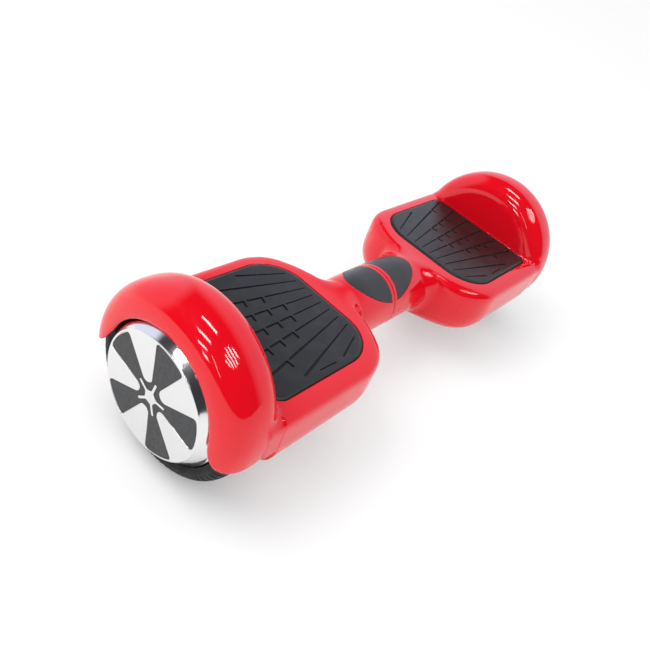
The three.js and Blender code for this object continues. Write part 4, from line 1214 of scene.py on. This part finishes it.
CAP_PROFILE = [(285, 0), (285, 53.2), (273, 53.2), (273, 66), (275, 66), (276.5, 64), (287.2, 56.2),
               (288.4, 55.6), (289, 54.4), (289, 0)]
CAP_EASE = [0, 0.5, 0.3, 0.8, 0.9, 1.4, 1.0, 0.6, 0.6, 0]
COVER_PROFILE = [(236.5, 14.3), (236.5, 64), (239.7, 64), (239.7, 19), (246, 19), (246, 14.3)]
COVER_EASE = [0.4, 1.0, 1.0, 2.0, 0.5, 0.5]
ROTOR_PROFILE = [(240, 53), (240, 66), (272, 66), (272, 0), (270.5, 0), (270.5, 12.3), (260, 12.3),
                 (260, 16), (268, 16), (268, 53)]
ROTOR_EASE = [0.4, 1.2, 1.2, 0, 0, 0.4, 0.4, 1.0, 2.0, 2.0]
SHAFT_PROFILE = [(198, 0), (198, 6.2), (198.8, 7), (227, 7), (227, 8.4), (227.6, 9), (234.4, 9),
                 (235, 8.4), (235, 8.3), (261, 8.3), (261, 5), (269, 5), (269.5, 4.5), (269.5, 0)]
BOLT_PROFILE = [(0, 2.6), (-1.2, 2.6), (-1.5, 2.2), (-1.5, 1.3), (-0.8, 1.2)]


def motor_cover():
    """The cover on the inner side of the wheel, with its ring of nine bolt heads."""
    shapes = [turned(eased(COVER_PROFILE, COVER_EASE, 4, True), 128, True)]
    for t in 2 * np.pi * np.arange(9) / 9:
        at = (236.4, 57 * math.cos(t), AXLE_Z + 57 * math.sin(t))
        shapes.append(spun(BOLT_PROFILE, at, (1, 0, 0), 20))
    return merge(shapes)


def wheel_pieces():
    for side, name in BODY.items():
        wheel = name + "_wheel"
        cap = piece(name + "_turned_cap", turned(eased(CAP_PROFILE, CAP_EASE, 5), 192), side)
        bed = along_axle(inlay_outline, [(GAP, -1.7), (GAP, -0.25), (GAP + 0.3, 0.05), (GAP + 0.3, 5)])
        combine(cap, [bed], side)
        finished(shade(cap, 28), wheel, "polished_metal", name + "_hub_cap")

        inlay = piece(name + "_wedge_inlay", along_axle(inlay_outline, [
            (0, -1.4), (0, -0.5), (-0.1, -0.3), (-0.3, -0.2)]), side)
        combine(inlay, [along_axle(star_outline, [(GAP, -4), (GAP, 4)])], side)
        finished(shade(inlay), wheel, "grey_inlay", name + "_wheel_inlay")

        star = along_axle(star_outline, [(0, -1.4), (0, 0), (-0.08, 0.13), (-0.25, 0.2)])
        smooth_piece(name + "_raised_star", star, side, wheel, "polished_metal", name + "_hub_star")
        smooth_piece(name + "_treaded_tyre", tyre(), side, wheel, "tyre_rubber", name + "_tyre",
                     angle=40)
        smooth_piece(name + "_ribbed_cover", motor_cover(), side, wheel, "cast_aluminium",
                     name + "_motor_cover")
        smooth_piece(name + "_rotor_cup", turned(eased(ROTOR_PROFILE, ROTOR_EASE, 4), 128), side, wheel,
                     "cast_aluminium", name + "_rotor_rim")
        smooth_piece(name + "_stepped_axle", turned(SHAFT_PROFILE, 64), side, name + "_half", "steel",
                     name + "_axle")


def control_pieces():
    """The power button, and the charging socket with its pins and its hinged cap."""
    behind = (0, 1, 0)
    button = spun([(78, 7), (88.7, 7), (89.3, 6.7), (89.6, 6.2), (89.6, 5.2), (89.2, 4.9), (89.1, 4.5),
                   (89.3, 2.5), (89.35, 0)], (BUTTON_U, 0, CONTROL_Z), behind, 64)
    smooth_piece("power_button_cap", button, 1, "power_button", "polished_metal", "power_button",
                 angle=40, finish="steel")

    face, deep = SOCKET_FACE_Y, SOCKET_FACE_Y - 11
    shapes = [spun([(66, 8), (face - 0.4, 8), (face, 7.6), (face, 6.1), (face - 0.3, 5.8), (deep, 5.8),
                    (deep, 0)], (SOCKET_U, 0, CONTROL_Z), behind, 64)]
    for i in range(3):
        t = math.pi / 2 + 2 * math.pi * i / 3
        at = (SOCKET_U + 3.2 * math.cos(t), 0, CONTROL_Z + 3.2 * math.sin(t))
        shapes.append(spun([(deep - 0.5, 0.8), (deep + 1.6, 0.8), (deep + 2.0, 0.5)], at, behind, 20))
    smooth_piece("socket_with_pins", merge(shapes), 1, "right_half", "black_trim", "charging_socket",
                 angle=40)

    back = face + 0.6
    disc = spun([(back, 8.4), (back + 0.25, 8.8), (back + 1.05, 8.8), (back + 1.4, 8.3),
                 (back + 1.4, 6.4), (back + 1.15, 6.1), (back + 1.15, 0)],
                (SOCKET_U, 0, CONTROL_Z), behind, 64)
    outline = eased([(-3.2, -7.2), (3.2, -7.2), (2.6, -5.6), (-2.6, -5.6)], [0.6] * 4, 4, True)
    lip = prism(np.array(outline) + (SOCKET_U, CONTROL_Z), (back + 0.8, back + 1.9, back + 2.2), 1)
    smooth_piece("socket_dust_cap", merge([disc, lip]), 1, "charging_cap", "black_rubber",
                 "charging_cap", angle=40)


def dress_cad_nodes():
    """The pieces inside keep their CAD shape and get the finish of their slot."""
    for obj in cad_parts.values():
        if not obj.hide_render:
            slot_name = obj.data.materials[0].name.split(".")[0]
            for i in range(len(obj.data.materials)):
                obj.data.materials[i] = FINISHES[slot_name]


shell_pieces()
trim_pieces()
wheel_pieces()
control_pieces()
dress_cad_nodes()


# ---------------------------------------------------------------- floor, light and camera

def one_quad(name, corners):
    mesh = bpy.data.meshes.new(name)
    mesh.from_pydata(corners, [], [(0, 1, 2, 3)])
    obj = bpy.data.objects.new(name, mesh)
    bpy.context.scene.collection.objects.link(obj)
    return obj


def floor():
    obj = one_quad("floor", [(-30, -30, 0), (30, -30, 0), (30, 30, 0), (-30, 30, 0)])
    f = Finish("floor", IOR=1.3, Specular_IOR_Level=0.0, Emission_Color=(1, 1, 1, 1),
               Emission_Strength=0.11)
    f.tint(f.noise(3, 2), (0.93, 0.93, 0.935), (0.925, 0.925, 0.93))
    f.rough(1.0)
    obj.data.materials.append(f.material)


def sky():
    """Even white light. Reflections see a dark room with white panels behind and to the right."""
    world = bpy.data.worlds.new("studio")
    bpy.context.scene.world = world
    world.use_nodes = True
    tree = world.node_tree
    tree.nodes.clear()

    def node(kind, links=(), values=(), **settings):
        made = tree.nodes.new(kind)
        for key, value in settings.items():
            setattr(made, key, value)
        for key, output in dict(links).items():
            tree.links.new(output, made.inputs[key])
        for key, value in dict(values).items():
            made.inputs[key].default_value = value
        return made

    place = node("ShaderNodeTexCoord").outputs["Generated"]
    apart = node("ShaderNodeSeparateXYZ", {0: place})
    rays = node("ShaderNodeLightPath").outputs
    panels = []
    for axis, low, high in ((0, 0.53, 0.68), (1, 0.60, 0.78)):
        panels.append(node("ShaderNodeMapRange", {"Value": apart.outputs[axis]},
                           {"From Min": low, "From Max": high}, interpolation_type="SMOOTHSTEP"))
    either = node("ShaderNodeMath", {0: panels[0].outputs[0], 1: panels[1].outputs[0]},
                  operation="MAXIMUM")
    mirrored = node("ShaderNodeMapRange", {"Value": either.outputs[0]}, {"To Min": 0.04})
    seen = node("ShaderNodeMapRange", {"Value": rays["Is Camera Ray"]}, {"To Min": 0.92})
    level = node("ShaderNodeMix", {0: rays["Is Glossy Ray"], 2: seen.outputs[0], 3: mirrored.outputs[0]},
                 data_type="FLOAT")
    tone = node("ShaderNodeMix", {0: rays["Is Glossy Ray"]},
                {6: (1.0, 1.0, 1.0, 1), 7: (0.90, 0.95, 1.12, 1)}, data_type="RGBA")
    light = node("ShaderNodeBackground", {"Color": tone.outputs[2], "Strength": level.outputs[0]})
    node("ShaderNodeOutputWorld", {0: light.outputs[0]})


def area_light(name, place, aim, size, power):
    data = bpy.data.lights.new(name, "AREA")
    data.size, data.energy = size, power
    obj = bpy.data.objects.new(name, data)
    obj.location = place
    obj.rotation_euler = (Vector(aim) - Vector(place)).to_track_quat("-Z", "Y").to_euler()
    bpy.context.scene.collection.objects.link(obj)
    obj.visible_glossy = False


def lamp_panel(name, centre, along, across, strength):
    """A glowing panel that only reflections see, from its centre and its two half sides."""
    centre, along, across = Vector(centre), Vector(along), Vector(across)
    corners = [centre + a * along + b * across for a, b in ((-1, -1), (1, -1), (1, 1), (-1, 1))]
    obj = one_quad(name, [tuple(c) for c in corners])
    material = bpy.data.materials.new(name)
    material.use_nodes = True
    shader = material.node_tree.nodes["Principled BSDF"]
    shader.inputs["Base Color"].default_value = (0, 0, 0, 1)
    shader.inputs["Emission Color"].default_value = (1, 1, 1, 1)
    shader.inputs["Emission Strength"].default_value = strength
    obj.data.materials.append(material)
    for ray in ("camera", "diffuse", "transmission", "volume_scatter", "shadow"):
        setattr(obj, "visible_" + ray, False)


def lamp_panels():
    """Strip lamps on a ceiling 4 m up and on a wall 4 m to the left."""
    lamp_panel("strip_over", (0.0, 0.35, 4.0), (0.08, -0.72, 0), (0.2, 0.02, 0), 22)
    lamp_panel("strip_left", (-2.9, 0.15, 4.0), (0.35, -0.75, 0), (0.25, 0.1, 0), 22)
    lamp_panel("strip_wall", (-4.0, 0.15, 2.2), (0, -0.42, 0.35), (0, 0.08, 0.14), 22)
    lamp_panel("spot_wall", (-4.0, 0.0, 1.1), (0, -0.22, 0.12), (0, 0.05, 0.14), 20)
    lamp_panel("tube_wall", (-4.0, -1.3, 2.2), (0, -0.38, -0.7), (0, 0.05, -0.03), 16)
    for i, reach in enumerate((0.38, 0.7, 0.95, 0.85, 0.5)):
        centre = (-1.25 + 0.7 * i, -2.75 + 0.14 * i, 4.0)
        lamp_panel("slat_%d" % i, centre, (0.24, -reach, 0), (0.12, 0.03, 0), 20)


def camera():
    turn, rise, roll = math.radians(-62.99), math.radians(37.53), math.radians(23.77)
    back = Vector((math.sin(turn) * math.cos(rise), -math.cos(turn) * math.cos(rise), math.sin(rise)))
    right = (-back).cross(Vector((0, 0, 1))).normalized()
    up = right.cross(-back)
    x = right * math.cos(roll) + up * math.sin(roll)
    y = -right * math.sin(roll) + up * math.cos(roll)
    data = bpy.data.cameras.new("camera")
    data.lens = 37.44
    data.sensor_width = 36
    obj = bpy.data.objects.new("camera", data)
    place = Vector((-0.01233, 0.02776, 0.01625)) + back * 0.76668
    obj.matrix_world = Matrix.Translation(place) @ Matrix((x, y, back)).transposed().to_4x4()
    bpy.context.scene.collection.objects.link(obj)
    bpy.context.scene.camera = obj


floor()
sky()
lamp_panels()
area_light("key", (-0.95, 0.85, 1.6), (0, 0, 0.05), 1.2, 11)
camera()
bpy.context.scene.view_settings.view_transform = "Standard"
